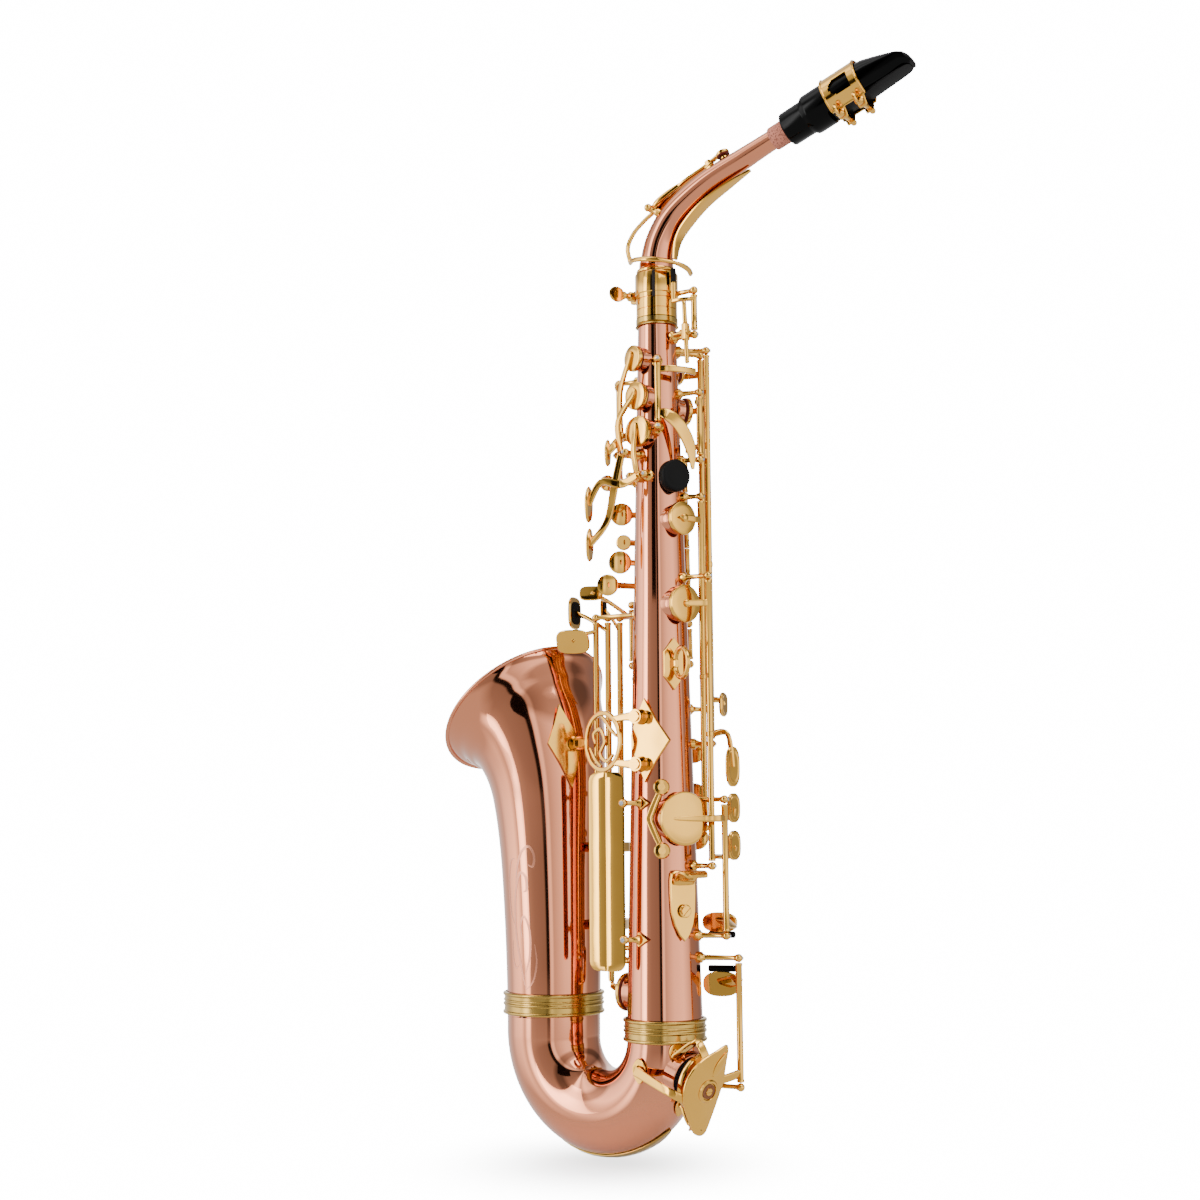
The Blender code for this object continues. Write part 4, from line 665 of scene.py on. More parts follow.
strokes = [  # engraved scroll: angle and height pairs, and the widest stroke
    ([(-84, 22), (-92, 40), (-98, 62), (-96, 84), (-88, 98), (-80, 96), (-79, 88), (-84, 86)], 1.6),
    ([(-86, 30), (-78, 44), (-77, 60), (-84, 70), (-90, 64), (-88, 56)], 1.3),
    ([(-98, 62), (-106, 74), (-107, 92), (-101, 106), (-94, 108)], 1.2),
    ([(-96, 84), (-92, 100), (-84, 112), (-74, 116), (-68, 110), (-70, 103), (-76, 104)], 1.4),
    ([(-84, 22), (-74, 28), (-69, 40), (-71, 52)], 1.0),
    ([(-92, 40), (-100, 36), (-105, 44), (-104, 54)], 0.9)]
for line, width in strokes:
    points = [onBell(angle, z) for angle, z in line]
    widths = [0.3] + [width] * (len(line) - 2) + [0.3]
    path = spline(points, 8)
    widthsFull = spline(widths, 8)
    left, right = [], []
    for point, way, wide in zip(path, headings(path), widthsFull):
        centre, radius = bellSpot(point.z)
        out = Vector((point.x - centre.x, point.y - centre.y, 0)).normalized()
        side = way.cross(out).normalized() * max(wide * 1.25, 0.2) / 2
        snug = Vector((centre.x, centre.y, point.z)) + out * (radius + 0.06)
        left.append(snug + side)
        right.append(snug - side)
    corners = left + right
    count = len(path)
    add(piece, (corners, [(n, n + 1, count + n + 1, count + n) for n in range(count - 1)]), "engraved")
finishPiece("bell", piece, "body", ["bell"])


def ferrule(name, node, centre, radius, low, high):
    piece = startPiece()
    inner = radius + gap
    profile = [(inner, low)]
    for middle, size in ((low + 1.4, 1.2), ((low + high) / 2 - 0.6, 1.0),
                         ((low + high) / 2 + 2.0, 0.8), (high - 1.4, 1.2)):
        for step in range(9):
            turn = math.radians(-80 + step * 20)
            profile.append((inner + 0.9 + size * math.cos(turn), middle + size * math.sin(turn)))
    profile.append((inner, high))
    add(piece, lathe(profile, centre, up, 112, closed=True), "satin")
    finishPiece(name, piece, "body", [node], 40)


ferrule("bodyFerrule", "body_bow_ferrule", Vector(), 24.6, -6.9, 7.9)
ferrule("bellFerrule", "bell_bow_ferrule", Vector((-bowValues["offset"], 0, bowValues["seam"])), 31.8, -5.9,
        8.9)

piece = startPiece()
rings = []
for step in range(41):
    share = 0.26 + 0.48 * step / 40
    spread = 19 * math.sin(math.pi * step / 40) ** 0.6 + 2
    ring = []
    for lift in (0.35, 1.35):
        line = []
        for side in range(9):
            centre, out, radius = bowFrame(share, spread * (side / 4 - 1))
            line.append(centre + out * (radius + lift - (0.45 if side in (0, 8) and lift > 1 else 0)))
        ring += line if lift < 1 else line[::-1]
    rings.append(ring)
add(piece, skin(rings), "satin")
finishPiece("bowGuard", piece, "body", ["bow_guard_plate"])
print("stage: bow and bell made")


# receiver and clamp screw

piece = startPiece()
receiverValues = {"radius": 14.0, "bore": 11.9, "clampAngle": 165}
outerR, bore, low = receiverValues["radius"], receiverValues["bore"], bodyLength
profile = [(bore, low + 0.2), (outerR - 0.3, low + 0.2), (outerR - 0.3, low + 5.0),
           (outerR - 0.8, low + 5.2), (outerR - 0.8, low + 5.8), (outerR - 0.3, low + 6.0),
           (outerR - 0.3, low + 12.2), (outerR - 0.9, low + 12.4), (outerR - 0.9, low + 13.0),
           (outerR - 0.2, low + 13.2), (outerR - 0.2, low + 16.0), (outerR + 0.4, low + 16.6),
           (outerR + 0.4, low + 29.8), (outerR, low + 30.6), (outerR - 0.6, low + receiverLength),
           (bore, low + receiverLength)]
add(piece, lathe(profile, Vector(), up, 96, closed=True))
clampAngle = receiverValues["clampAngle"]
clampOut, clampAxis = at(clampAngle, 1, 0), at(clampAngle - 90, 1, 0)
clampCentre = at(clampAngle, 18.4, neckBase - 12)
for sign in (-1, 1):
    add(piece, sweep([clampCentre - clampOut * 5.6 + clampAxis * 3.0 * sign,
                      clampCentre + clampAxis * 3.0 * sign,
                      clampCentre + clampOut * 4.4 + clampAxis * 3.0 * sign],
                      [9.4, 9.4, 8.0], 4.2, clampAxis))
pinHead = octaveRods["pin"][0] + up * 480
add(piece, post(at(3, outerR - 1.2, pinHead.z), pinHead))
# painted shade: a thin dark strip laid flat on the receiver wall, standing in for the shade of a slit
add(piece, plate([(-1.0, -9), (1.0, -9), (1.0, 9), (-1.0, 9)], at(-60, outerR + 0.1, neckBase - 9.5),
                 at(30, 1, 0), up, 0.9, 0.2), "dark")
finishPiece("neckReceiver", piece, "body", ["neck_receiver"])

piece = startPiece()
near = -clampAxis
add(piece, lathe([(1.2, -6.4), (1.7, -6.0), (1.7, 16)], clampCentre, near, 18))
add(piece, lathe([(2.6, 5.6), (3.4, 6.2), (3.4, 9.0), (2.4, 9.8), (1.9, 12.0), (2.8, 13.4), (1.7, 15.0)],
                 clampCentre, near, 28))
add(piece, plate(oval(12.5, 10.6), clampCentre + near * 19.4, near, up, 2.2, 0.7, dome=0.3))
add(piece, lathe([(2.4, -1.6), (2.4, -1.4)], clampCentre + near * 19.4, near.cross(up), 16))
finishPiece("clampScrew", piece, "neck_clamp_screw", ["neck_clamp_screw"])


# neck, mouthpiece and what they carry

neckValues = {"turn": 8.0, "wall": 0.9, "hoopRadius": 20.2}
neckTurn = Matrix.Rotation(math.radians(neckValues["turn"]), 3, "Z")


def onNeck(reach, rise, side=0.0):
    return neckTurn @ Vector((reach, side, 0)) + up * (neckBase + rise)


neckLine = [(0.0, -26, 11.6), (0.0, 3.2, 11.6), (0.4, 6, 11.2), (1.4, 14, 10.7), (4.6, 24, 10.2),
            (12.0, 36, 9.6), (23.5, 46, 9.0), (42.0, 57.0, 8.2), (66.0, 66.7, 7.2),
            (87.0, 75.0, 6.5), (116.0, 86.26, 6.2)]
neckAxis = (onNeck(115.5, 86.07) - onNeck(88.5, 75.58)).normalized()
neckSide = (neckTurn @ Vector((0, 1, 0))).normalized()
neckTop = -neckSide.cross(neckAxis).normalized()
neckOut = (neckTurn @ Vector((-0.38, 0, 0.925))).normalized()
pip = onNeck(56.0, 62.7)
hingeEnds = (onNeck(-0.6, 44.0, -9.0), onNeck(-0.6, 44.0, 9.0))
piece = startPiece()
path = spline([onNeck(reach, rise) for reach, rise, _ in neckLine], 8)
radii = spline([radius for _, _, radius in neckLine], 8)
outer, inner = [], []
for point, way, radius in zip(path, headings(path), radii):
    first, second = across(way, neckSide)
    spin = [first * math.cos(math.radians(5 * side)) + second * math.sin(math.radians(5 * side))
            for side in range(72)]
    outer.append([point + out * radius for out in spin])
    inner.insert(0, [point + out * (radius - neckValues["wall"]) for out in spin])
add(piece, skin(outer + inner, closed=True), "rose")
add(piece, lathe([(11.7, neckBase + 0.4), (13.2, neckBase + 0.5), (13.4, neckBase + 1.4),
                  (13.1, neckBase + 2.4), (12.2, neckBase + 3.0), (11.5, neckBase + 3.2)],
                  Vector(), up, 72, closed=True))
add(piece, lathe([(4.0, 6.4), (3.6, 7.2), (2.4, 7.8), (2.4, 9.6), (1.3, 9.6), (1.3, 7.0)],
                 pip, neckOut, 24, caps=False))
hingeMiddle = (hingeEnds[0] + hingeEnds[1]) / 2
for head in hingeEnds:
    foot = onNeck(6.0, 40.0) + (head - hingeMiddle) * 0.5
    add(piece, post(foot, head, 1.5))
saddle = onNeck(44, 65.5)
for side in (-1, 1):
    add(piece, sweep([saddle + neckSide * 5.4 * side - neckOut * 2.6,
                      saddle + neckSide * 5.2 * side + neckOut * 3.6], [5.0, 4.0], 1.8, neckSide))
add(piece, sweep([saddle - neckSide * 6.2, saddle + neckSide * 6.2], [6.0, 6.0], 1.8, neckOut))
finishPiece("neckTube", piece, "neck", ["neck_tube"])

piece = startPiece()
corkStart = onNeck(88.5, 75.58)
corkLength = (onNeck(115.5, 86.07) - corkStart).length
profile = [(6.8, 0), (7.5, 0.2), (7.9, 1.2), (7.9, corkLength - 2.0),
           (7.5, corkLength - 0.4), (6.8, corkLength)]
add(piece, lathe(profile, corkStart, neckAxis, 56, closed=True), "cork")
finishPiece("neckCork", piece, "neck", ["neck_cork"])

piece = startPiece()
stay = [onNeck(14.5, 8.4), onNeck(17.0, 20), onNeck(24.0, 30), onNeck(38.0, 42),
        onNeck(56.0, 51.5), onNeck(71.5, 58.3)]
add(piece, sweep(stay, [5.0, 8.6, 11.6, 11.6, 8.6, 2.6], 1.9, neckTurn @ Vector((0.7, 0, -0.7)), 8))
finishPiece("neckBrace", piece, "neck", ["neck_brace"])

piece = startPiece()
pad = pip + neckOut * 9.9
add(piece, lathe([(3.0, 0.1), (4.3, 0), (4.4, 1.2)], pad, neckOut, 28), "leather")
add(piece, lathe([(4.5, 0.8), (4.6, 1.0), (4.6, 2.6), (4.2, 3.1), (3.2, 3.3), (0.3, 3.4)], pad, neckOut,
                 32))
add(piece, hingeTube(hingeEnds[0], hingeEnds[1]))
key = [hingeMiddle, onNeck(9.0, 50), onNeck(22.0, 59.0), onNeck(38.0, 67.0), pad + neckOut * 3.0]
add(piece, sweep(key, [4.0, 4.6, 7.0, 4.4, 3.6], 2.2, neckOut, 8))
add(piece, sweep([hingeMiddle - neckOut * 2.0, onNeck(4.0, 47.5), onNeck(12.0, 54.0), onNeck(22.0, 59.4)],
                 [12.0, 12.5, 8.0, 4.0], [3.0, 5.6, 4.4, 2.4], neckOut, 8))
for side in (-1, 1):
    fork = [hingeMiddle + neckSide * 5.0 * side, onNeck(7.0, 49.0, 5.4 * side),
            onNeck(20, 58.0, 2.0 * side)]
    add(piece, sweep(fork, [3.0, 3.0, 2.2], 2.6, neckOut, 8))
hoopCentre, hoopRadius = Vector((2.4, 1.8, 0)), neckValues["hoopRadius"]
ring = [hoopCentre + at(218 + step * 17.5, hoopRadius, neckBase + 9 - step * 0.95) for step in range(11)]
leg = [hingeMiddle, onNeck(-8, 37, -3), onNeck(-13.0, 28, -8), onNeck(-15.5, 18, -11), ring[0]]
add(piece, sweep(leg + ring[1:], [4.6, 4.4, 4.0, 3.8] + [3.6] * (len(leg) + 6), 2.6,
                 Vector((-0.3, -1, 0.6)), 8, power=0.8))
finishPiece("neckOctaveKey", piece, "neck_octave_key", ["neck_octave_key"])

mouthStart = onNeck(99.0, 79.65)


def mouthPoint(distance, rise=0.0, side=0.0):
    return mouthStart + neckAxis * distance + neckTop * rise + neckSide * side


# distance, top, bottom, half width
mouthLine = [(0, 10.2, -10.2, 10.2), (0.5, 10.9, -10.9, 10.9), (1.4, 11.3, -11.3, 11.3),
             (15.0, 11.4, -11.4, 11.4), (16.0, 11.6, -11.6, 11.6), (17.6, 13.0, -13.0, 13.0),
             (19.5, 13.35, -13.35, 13.35), (31.0, 13.3, -13.3, 13.3), (32.2, 13.3, -8.9, 13.3),
             (45, 13.2, -8.9, 13.2), (57.0, 12.9, -8.9, 12.9), (63.0, 12.0, -8.9, 12.4),
             (70.0, 9.6, -8.9, 11.6), (78.0, 6.4, -8.9, 10.6), (85.0, 3.0, -8.9, 9.4),
             (88.6, 0.6, -8.9, 8.4), (90.2, -1.6, -8.7, 7.2), (91.0, -4.0, -7.4, 5.0)]
mouthValues = {"sides": 56, "bore": 8.3, "boreDepth": 22}
turns = [2 * math.pi * (side + 0.5) / mouthValues["sides"] for side in range(mouthValues["sides"])]
piece = startPiece()
rings = []
for distance, top, bottom, wide in mouthLine:
    ring = []
    flat = bottom > -9.5
    shoulder = min(0.0, top - 2.6)
    for turn in turns:
        c, s = math.cos(turn), math.sin(turn)
        rise = shoulder + s * (top - shoulder if s > 0 else wide) if flat else s * top
        ring.append(mouthPoint(distance, max(rise, bottom), wide * c))
    rings.append(ring)
core = [[mouthPoint(distance, mouthValues["bore"] * math.sin(turn), mouthValues["bore"] * math.cos(turn))
         for turn in turns] for distance in (0, mouthValues["boreDepth"])]
add(piece, skin([core[1], core[0]] + rings), "resin")
finishPiece("mouthpiece", piece, "mouthpiece", ["mouthpiece"], 38)

piece = startPiece()
reedLine = [(33, 2.7, 6.2), (45, 2.75, 6.3), (58, 2.6, 6.6), (62, 2.3, 6.7), (72, 1.5, 6.8), (82, 0.8, 6.8),
            (86, 0.55, 6.2), (88.2, 0.42, 4.9), (89.2, 0.35, 3.0)]
rings = []
for distance, thick, wide in reedLine:
    ring = []
    for step in range(9):
        share = step / 4 - 1
        ring.append(mouthPoint(distance, -9.2 - thick * (1 - 0.25 * share * share), wide * share))
    ring += [mouthPoint(distance, -9.2, wide), mouthPoint(distance, -9.2, -wide)]
    rings.append(ring)
add(piece, skin(rings), "reed")
finishPiece("reed", piece, "mouthpiece", ["reed"])

ligatureValues = {"start": 33.5, "length": 25.0, "inner": 13.8, "outer": 14.7, "from": -52,
                  "round": 284, "screwInset": 5.5}
ligatureStart, ligatureLength = ligatureValues["start"], ligatureValues["length"]
screwSpots = (ligatureStart + ligatureValues["screwInset"],
              ligatureStart + ligatureLength - ligatureValues["screwInset"])
piece = startPiece()
rows, columns = 26, 84
corners, faces = [], []
for lift in (ligatureValues["inner"], ligatureValues["outer"]):
    for row in range(rows + 1):
        distance = ligatureStart + ligatureLength * row / rows
        for column in range(columns + 1):
            turn = math.radians(ligatureValues["from"] + ligatureValues["round"] * column / columns)
            corners.append(mouthPoint(distance, lift * math.sin(turn), lift * math.cos(turn)))
layer = (rows + 1) * (columns + 1)


def windowCell(row, column):
    angle = ligatureValues["from"] + ligatureValues["round"] * (column + 0.5) / columns
    distance = ligatureLength * (row + 0.5) / rows
    for middle in (90, 180, 0):
        width = 27 if middle == 90 else 21
        share = abs(angle - middle) / width
        if share < 1 and 5.0 + 4.0 * share * share < distance < 19.5:
            return True
    return False


cutAway = [[windowCell(row, column) for column in range(columns)] for row in range(rows)]
for row in range(rows):
    for column in range(columns):
        if cutAway[row][column]:
            continue
        a = row * (columns + 1) + column
        quad = (a, a + 1, a + columns + 2, a + columns + 1)
        faces.append(quad)
        faces.append(tuple(layer + corner for corner in reversed(quad)))
        sides = [((0, 1), row == 0 or cutAway[row - 1][column]),
                 ((1, 2), column == columns - 1 or cutAway[row][column + 1]),
                 ((2, 3), row == rows - 1 or cutAway[row + 1][column]),
                 ((3, 0), column == 0 or cutAway[row][column - 1])]
        for (i, j), edge in sides:
            if edge:
                faces.append((quad[j], quad[i], layer + quad[i], layer + quad[j]))
add(piece, (corners, faces))
for row in (0.9, 24.1):
    bandLine = [mouthPoint(ligatureStart + row, 14.9 * math.sin(math.radians(-50 + 28 * n)),
                           14.9 * math.cos(math.radians(-50 + 28 * n))) for n in range(11)]
    add(piece, wire(bandLine, [0.55] * 11, 6, 10, neckAxis))
for side in (-1, 1):
    for spot in screwSpots:
        lug = [mouthPoint(spot, -10.8, side * 8.7), mouthPoint(spot, -14.0, side * 7.0),
               mouthPoint(spot, -17.8, side * 5.2)]
        add(piece, sweep(lug, [8.4, 7.0, 5.4], 1.6, neckSide))
        add(piece, lathe([(2.4, -1.7), (2.4, 1.7), (1.7, 1.9)],
                         mouthPoint(spot, -15.4, side * 5.6), neckSide, 20))
    rail = [mouthPoint(ligatureStart + 0.6, -11.0, side * 8.8),
            mouthPoint(ligatureStart + ligatureLength - 0.6, -11.0, side * 8.8)]
    add(piece, sweep(rail, [3.0, 3.0], 1.4, neckSide))
finishPiece("ligature", piece, "mouthpiece", ["ligature"])

for number, spot in enumerate(screwSpots, 1):
    piece = startPiece()
    middle = mouthPoint(spot, -15.4)
    add(piece, lathe([(1.2, -11.8), (1.5, -11.4), (1.5, 13)], middle, -neckSide, 18))
    add(piece, lathe([(2.2, 8.8), (3.0, 9.2), (3.0, 11.0), (2.0, 11.8), (1.7, 12.6)], middle, -neckSide,
                     24))
    add(piece, plate(oval(8.6, 7.6), middle - neckSide * 15.6, -neckSide, neckTop, 1.9, 0.6, dome=0.2))
    add(piece, ball(middle + neckSide * 11.0, 2.0, neckSide, 14))
    finishPiece(f"ligatureScrew{number}", piece, f"ligature_screw_{number}", [f"ligature_screw_{number}"])
print("stage: neck and mouthpiece made")


# octave mechanism

piece = startPiece()
leverHigh = offBody(leverRod[0], leverRod[1], leverRod[2])
leverLow = offBody(leverRod[0], leverRod[1], leverRod[3])
add(piece, hingeTube(leverLow, leverHigh))
z, reach = leverHigh.z - 7, leverHigh.xy.length
arm = [at(-52, reach, z), at(-30, reach + 2.2, z), at(-8, reach + 3.4, z), at(10, reach + 5.0, z)]
add(piece, sweep(arm, [4.4, 4.2, 4.2, 4.6], 2.0, Vector((0.9, -0.4, 0))))
add(piece, lathe([(2.2, -2.4), (2.4, -0.8)], at(8, reach + 4.9, z), at(8, 1, 0), 20), "corkPad")
z = leverLow.z + 9
blade = [at(-52, leverLow.xy.length, z), at(-38, 26.0, z - 2), at(-20, 27.0, z - 9),
         at(-3, 27.5, z - 22), at(1, 28.0, z - 36.5)]
add(piece, sweep(blade, [4.5, 8, 9.4, 8.4, 2.2], 1.6, Vector((0.93, -0.35, 0)), 10))
finishPiece("octaveThumbLever", piece, "octave_thumb_lever", ["octave_thumb_lever"])

piece = startPiece()
pinLow, pinHigh = octaveRods["pin"][0] + up * 450, octaveRods["pin"][0] + up * 480
add(piece, hingeTube(pinLow, pinHigh))
z = pinHigh.z - 6
pin = at(-12.5, 17.6, z)
add(piece, sweep([at(3, 30, z), at(-5, 25, z), pin], [4.6, 4.4, 3.8], 2.4, up))
add(piece, lathe([(1.7, -1), (1.7, 12), (1.2, 12.4), (1.2, 13)], pin, up, 18))
add(piece, lathe([(1.3, 12.6), (1.7, 13.0), (1.7, 21.6), (1.4, 22)], pin, up, 18), "felt")
finishPiece("octavePin", piece, "octave_pin_lever", ["octave_pin_lever"])

piece = startPiece()
rockTop, rockLow = at(-7, 25.4, 472), at(-7, 27.6, 431)
add(piece, wire([rockLow, rockLow.lerp(rockTop, 0.5), rockTop], [1.5, 1.7, 1.5]))
add(piece, sweep([rockerMiddle - up * 5, rockerMiddle + up * 5], [5.2, 5.2], 4.2, rockerOut))
add(piece, slottedScrew(rockerMiddle + rockerOut * 2.0, rockerOut, 2.3, 1.2, Vector((0, 1, 1))))
add(piece, lathe([(2.4, -4.1), (2.2, -1.5)], rockerMiddle, rockerOut, 18))
finishPiece("octaveRocker", piece, "octave_rocker", ["octave_rocker"])

piece = startPiece()
spot = octaveRods["body"][0]
keyLow, keyHigh = spot + up * 368, spot + up * 413
add(piece, hingeTube(keyLow, keyHigh))
z = keyLow.z + 10
top, out = offBody(46, 3.4, z), at(46, 1, 0)
add(piece, lathe([(3.0, 0.35), (3.4, 0.3), (3.4, 1.4)], top, out, 20), "leather")
add(piece, lathe([(3.6, 1.2), (3.6, 3.0), (3.0, 3.6), (0.4, 3.8)], top, out, 24))
add(piece, sweep([Vector((spot.x, spot.y, z)), at(32, 26.0, z), top + out * 3.2],
                 [4, 4, 2.6], 1.9, at(35, 1, 0)))
z = keyHigh.z - 8
add(piece, sweep([Vector((spot.x, spot.y, z)), at(4, 30.0, z)], [4, 3.4], 1.9, at(10, 1, 0)))
finishPiece("bodyOctaveKey", piece, "body_octave_key", ["body_octave_key"])
print("stage: octave mechanism made")


# palm keys

def palmKey(name, over, waypoints, touch, width, height):
    piece = startPiece()
    start, end = palmEnds(name)
    middle = (start + end) / 2
    top, out, radius = holeTop(name)
    crown = crownOf(name)
    add(piece, hingeTube(start, end))
    cupParts(piece, top, out, radius)
    upper = [middle, over or middle.lerp(crown, 0.5) + out * 3.0, crown + out * 0.5,
             crown + up * radius * 0.5 + out * 0.1]
    add(piece, sweep(upper, [4.4, 4.0, 3.4, 1.2], 2.4, out, 8))
    add(piece, sweep([middle] + waypoints + [touch], [5.0, 5.4] + [4.4] * len(waypoints), 2.4,
                     Vector((0.5, -0.8, 0.1)), 8))
    right = Vector((0.35, -0.93, 0)).normalized()
    outline = [(0, height / 2), (width * 0.42, height * 0.24), (width / 2, -height * 0.1),
               (width * 0.3, -height * 0.42), (0, -height / 2), (-width * 0.34, -height * 0.36),
               (-width / 2, 0), (-width * 0.34, height * 0.34)]
    add(piece, plate(outline, touch, right, up, 2.0, 0.7, 5, dome=0.6))
    finishKey(piece, name, name + "_key")


palmKey("palm_d", None, [at(-100, 33, 350), at(-116, 42, 352)], at(-123, 48.5, 338), 12, 24)
palmKey("palm_e_flat", at(-115, 29.5, 393), [at(-120, 31, 352), at(-130, 35, 328)],
        at(-128, 47, 312), 11, 22)
palmKey("palm_f", at(-129, 25.5, 414), [at(-126, 29, 380)], at(-124, 35.0, 373), 9, 18)

piece = startPiece()
low, high = at(frontRod[0], frontRod[1], frontRod[3]), at(frontRod[0], frontRod[1], frontRod[2])
add(piece, hingeTube(low, high))
touch = at(190, 39, low.z + 2)
add(piece, sweep([low + up * 5, (low + up * 5).lerp(touch, 0.6), touch], [4, 5, 6], 1.9, up))
add(piece, lathe([(4.6, -1.2), (5.5, -0.8), (5.5, 0.6), (4.9, 1.1)], touch, at(150, 1, 0), 32))
add(piece, lathe([(4.7, 0.8), (4.5, 1.3), (0.5, 1.5)], touch, at(150, 1, 0), 32), "pearl")
add(piece, sweep([high - up * 5, at(-150, 27, high.z - 3), at(-136, 24, high.z - 1)], [4, 4, 2.6], 1.9, up))
finishPiece("frontFKey", piece, "front_f_key", ["front_f_key"])


# finger keys

def turnedShut(point, node):
    joint = jointOf[node]
    pivot = Vector(joint["pos_m"]) * 1000 - origin
    return pivot + Matrix.Rotation(math.radians(joint["range_deg"][0]), 3,
                                   Vector(joint["axis"])) @ (point - pivot)


def fingerKey(name, low, high, rod, pearl=None, pearlRadius=8.0, look=140):
    piece = startPiece()
    node = name + "_key"
    angle, height, _ = rod
    start, end = offBody(angle, height, low), offBody(angle, height, high)
    add(piece, hingeTube(start, end, 0.2))
    top, out, radius = holeTop(name)
    crown = crownOf(name)
    cupParts(piece, top, out, radius)
    z = min(max(bodyHoles[name][1], low + 3.5), high - 3.5)
    armTo(piece, offBody(angle, height, z), crown, out, radius)
    if pearl:
        facing = at(look, 1, 0)
        centre = turnedShut(offBody(*pearl) - facing * 4.0, node)
        z = min(max(pearl[2], low + 2.4), high - 2.4)
        over = offBody(bodyHoles[name][0], 13.6, centre.z)
        add(piece, sweep([offBody(angle, height, z), over, centre + facing * 0.8],
                         [4.0, 3.8, 4.4], 2.2, out, 8))
        add(piece, lathe([(pearlRadius * 0.86, 0), (pearlRadius, 0.5), (pearlRadius, 2.6),
                          (pearlRadius * 0.9, 3.0)], centre, facing, 40))
        add(piece, lathe([(pearlRadius * 0.88, 2.4), (pearlRadius * 0.84, 3.0), (pearlRadius * 0.5, 3.15),
                          (0.5, 3.2)], centre, facing, 40), "pearl")
    finishKey(piece, name, node)


fingerKey("c", 350.8, 366.6, upperRod)
fingerKey("b", 332.4, 350.8, upperRod, (176, 19.0, 337), 7.6)
fingerKey("bis", 313, 332.4, upperRod, (174, 18.0, 318), 5.2)
fingerKey("a", 292.8, 313, upperRod, (176, 20.0, 304.7), 7.7)
fingerKey("g", 265.4, 292.8, upperRod, (188, 24.0, 289.0), 7.2)
fingerKey("g_sharp", 238.6, 259.4, upperRod)
fingerKey("f_sharp", 197.6, 223.4, lowerRod)
fingerKey("f", 165, 197.6, lowerRod, (90, 15.5, 178), 8.0, 108)
fingerKey("e", 133, 165, lowerRod, (90, 15.5, 149), 8.0, 108)
fingerKey("d", 99, 133, lowerRod, (90, 16.6, 121), 8.0, 108)
print("stage: palm and finger keys made")


# left hand table

def tableKey(name, touch, right, rise, size, build, width=5.0):
    piece = startPiece()
    start, end = rodEnds(tableRods, name)
    knuckle = end - up * 9
    add(piece, hingeTube(start, end))
    add(piece, sweep([knuckle, knuckle.lerp(touch, 0.6) + up * 1.5, touch], [width] * 3, 2.3,
                     Vector((0.3, 0.5, 0.8)), 8))
    out = right.cross(rise).normalized()
    add(piece, plate(oval(size[0], size[1], 40, 0.6), touch, right, rise, 1.8, 0.6, dome=0.3))
    add(piece, plate(oval(size[0] * 0.7, size[1] * 0.7, 32, 0.6), touch - out * 1.0, right, rise, 0.8, 0.2),
        "felt")
    build(piece)
    node = name if "touch" in name else name + "_key"
    finishKey(piece, name, node, "Table")


def bellKey(name):
    def build(piece):
        top, out, _, radius = bellHoleTop(name)
        x, y, _, _ = tableRods[name]
        crown = top + out * (padLift + cupHeight)
        centre, bellSize = bellSpot(top.z)
        swing = [Vector((x, y, top.z)), Vector((x - 6, y + 16, top.z)),
                 Vector((centre.x + 32, bellSize + 2, top.z)),
                 Vector((centre.x + 18, crown.y + 1.0, top.z)), crown + out * 0.4]
        add(piece, sweep(swing, [6.4, 6.6, 6.6, 6, 4], 2.3, Vector((0.5, 0.8, 0)), 8))
        cupParts(piece, top, out, radius)
        add(piece, lathe([(4.0, -0.4), (4.0, 0.8), (3.0, 1.6), (0.4, 1.8)], crown, out, 24))
    return build


def lowCSharp(piece):
    top, out, radius = holeTop("low_c_sharp")
    crown = crownOf("low_c_sharp")
    x, y, _, low = tableRods["low_c_sharp"]
    base = Vector((x, y, low + 6))
    reach = [base, Vector((x - 6, y - 2, low + 3)), Vector((x - 6, y - 4, crown.z + 4)), crown + out * 0.4]
    add(piece, sweep(reach, [4.6, 4.8, 4.6, 3.6], 2.3, Vector((-0.6, 0.1, 0.8)), 8))
    cupParts(piece, top, out, radius)


def gSharpNudge(piece):
    low = rodEnds(tableRods, "g_sharp_touch")[0] + up * 6
    add(piece, sweep([low, Vector((-26, 24, low.z)), Vector((-23.5, 27.5, low.z))], [4, 3.8, 3.2],
                     2.2, Vector((0.6, 0.7, 0))))


flatRight = Vector((0.83, 0.55, 0)).normalized()
sideRight = Vector((0.42, -0.9, 0)).normalized()
tableKey("low_b_flat", Vector((-61, -17, 252)), flatRight, Vector((0.25, -0.35, 0.9)).normalized(),
         (23, 17), bellKey("low_b_flat"))
tableKey("low_b", Vector((-71, -6, 272.8)), sideRight, up, (20, 22), bellKey("low_b"))
tableKey("low_c_sharp", Vector((-60, 14, 276)), sideRight, up, (13, 15), lowCSharp)
tableKey("g_sharp_touch", Vector((-55, -5, 285)), flatRight, Vector((-0.2, 0.3, 0.9)).normalized(),
         (16, 11), gSharpNudge, 4.0)


# right hand side keys and little finger keys

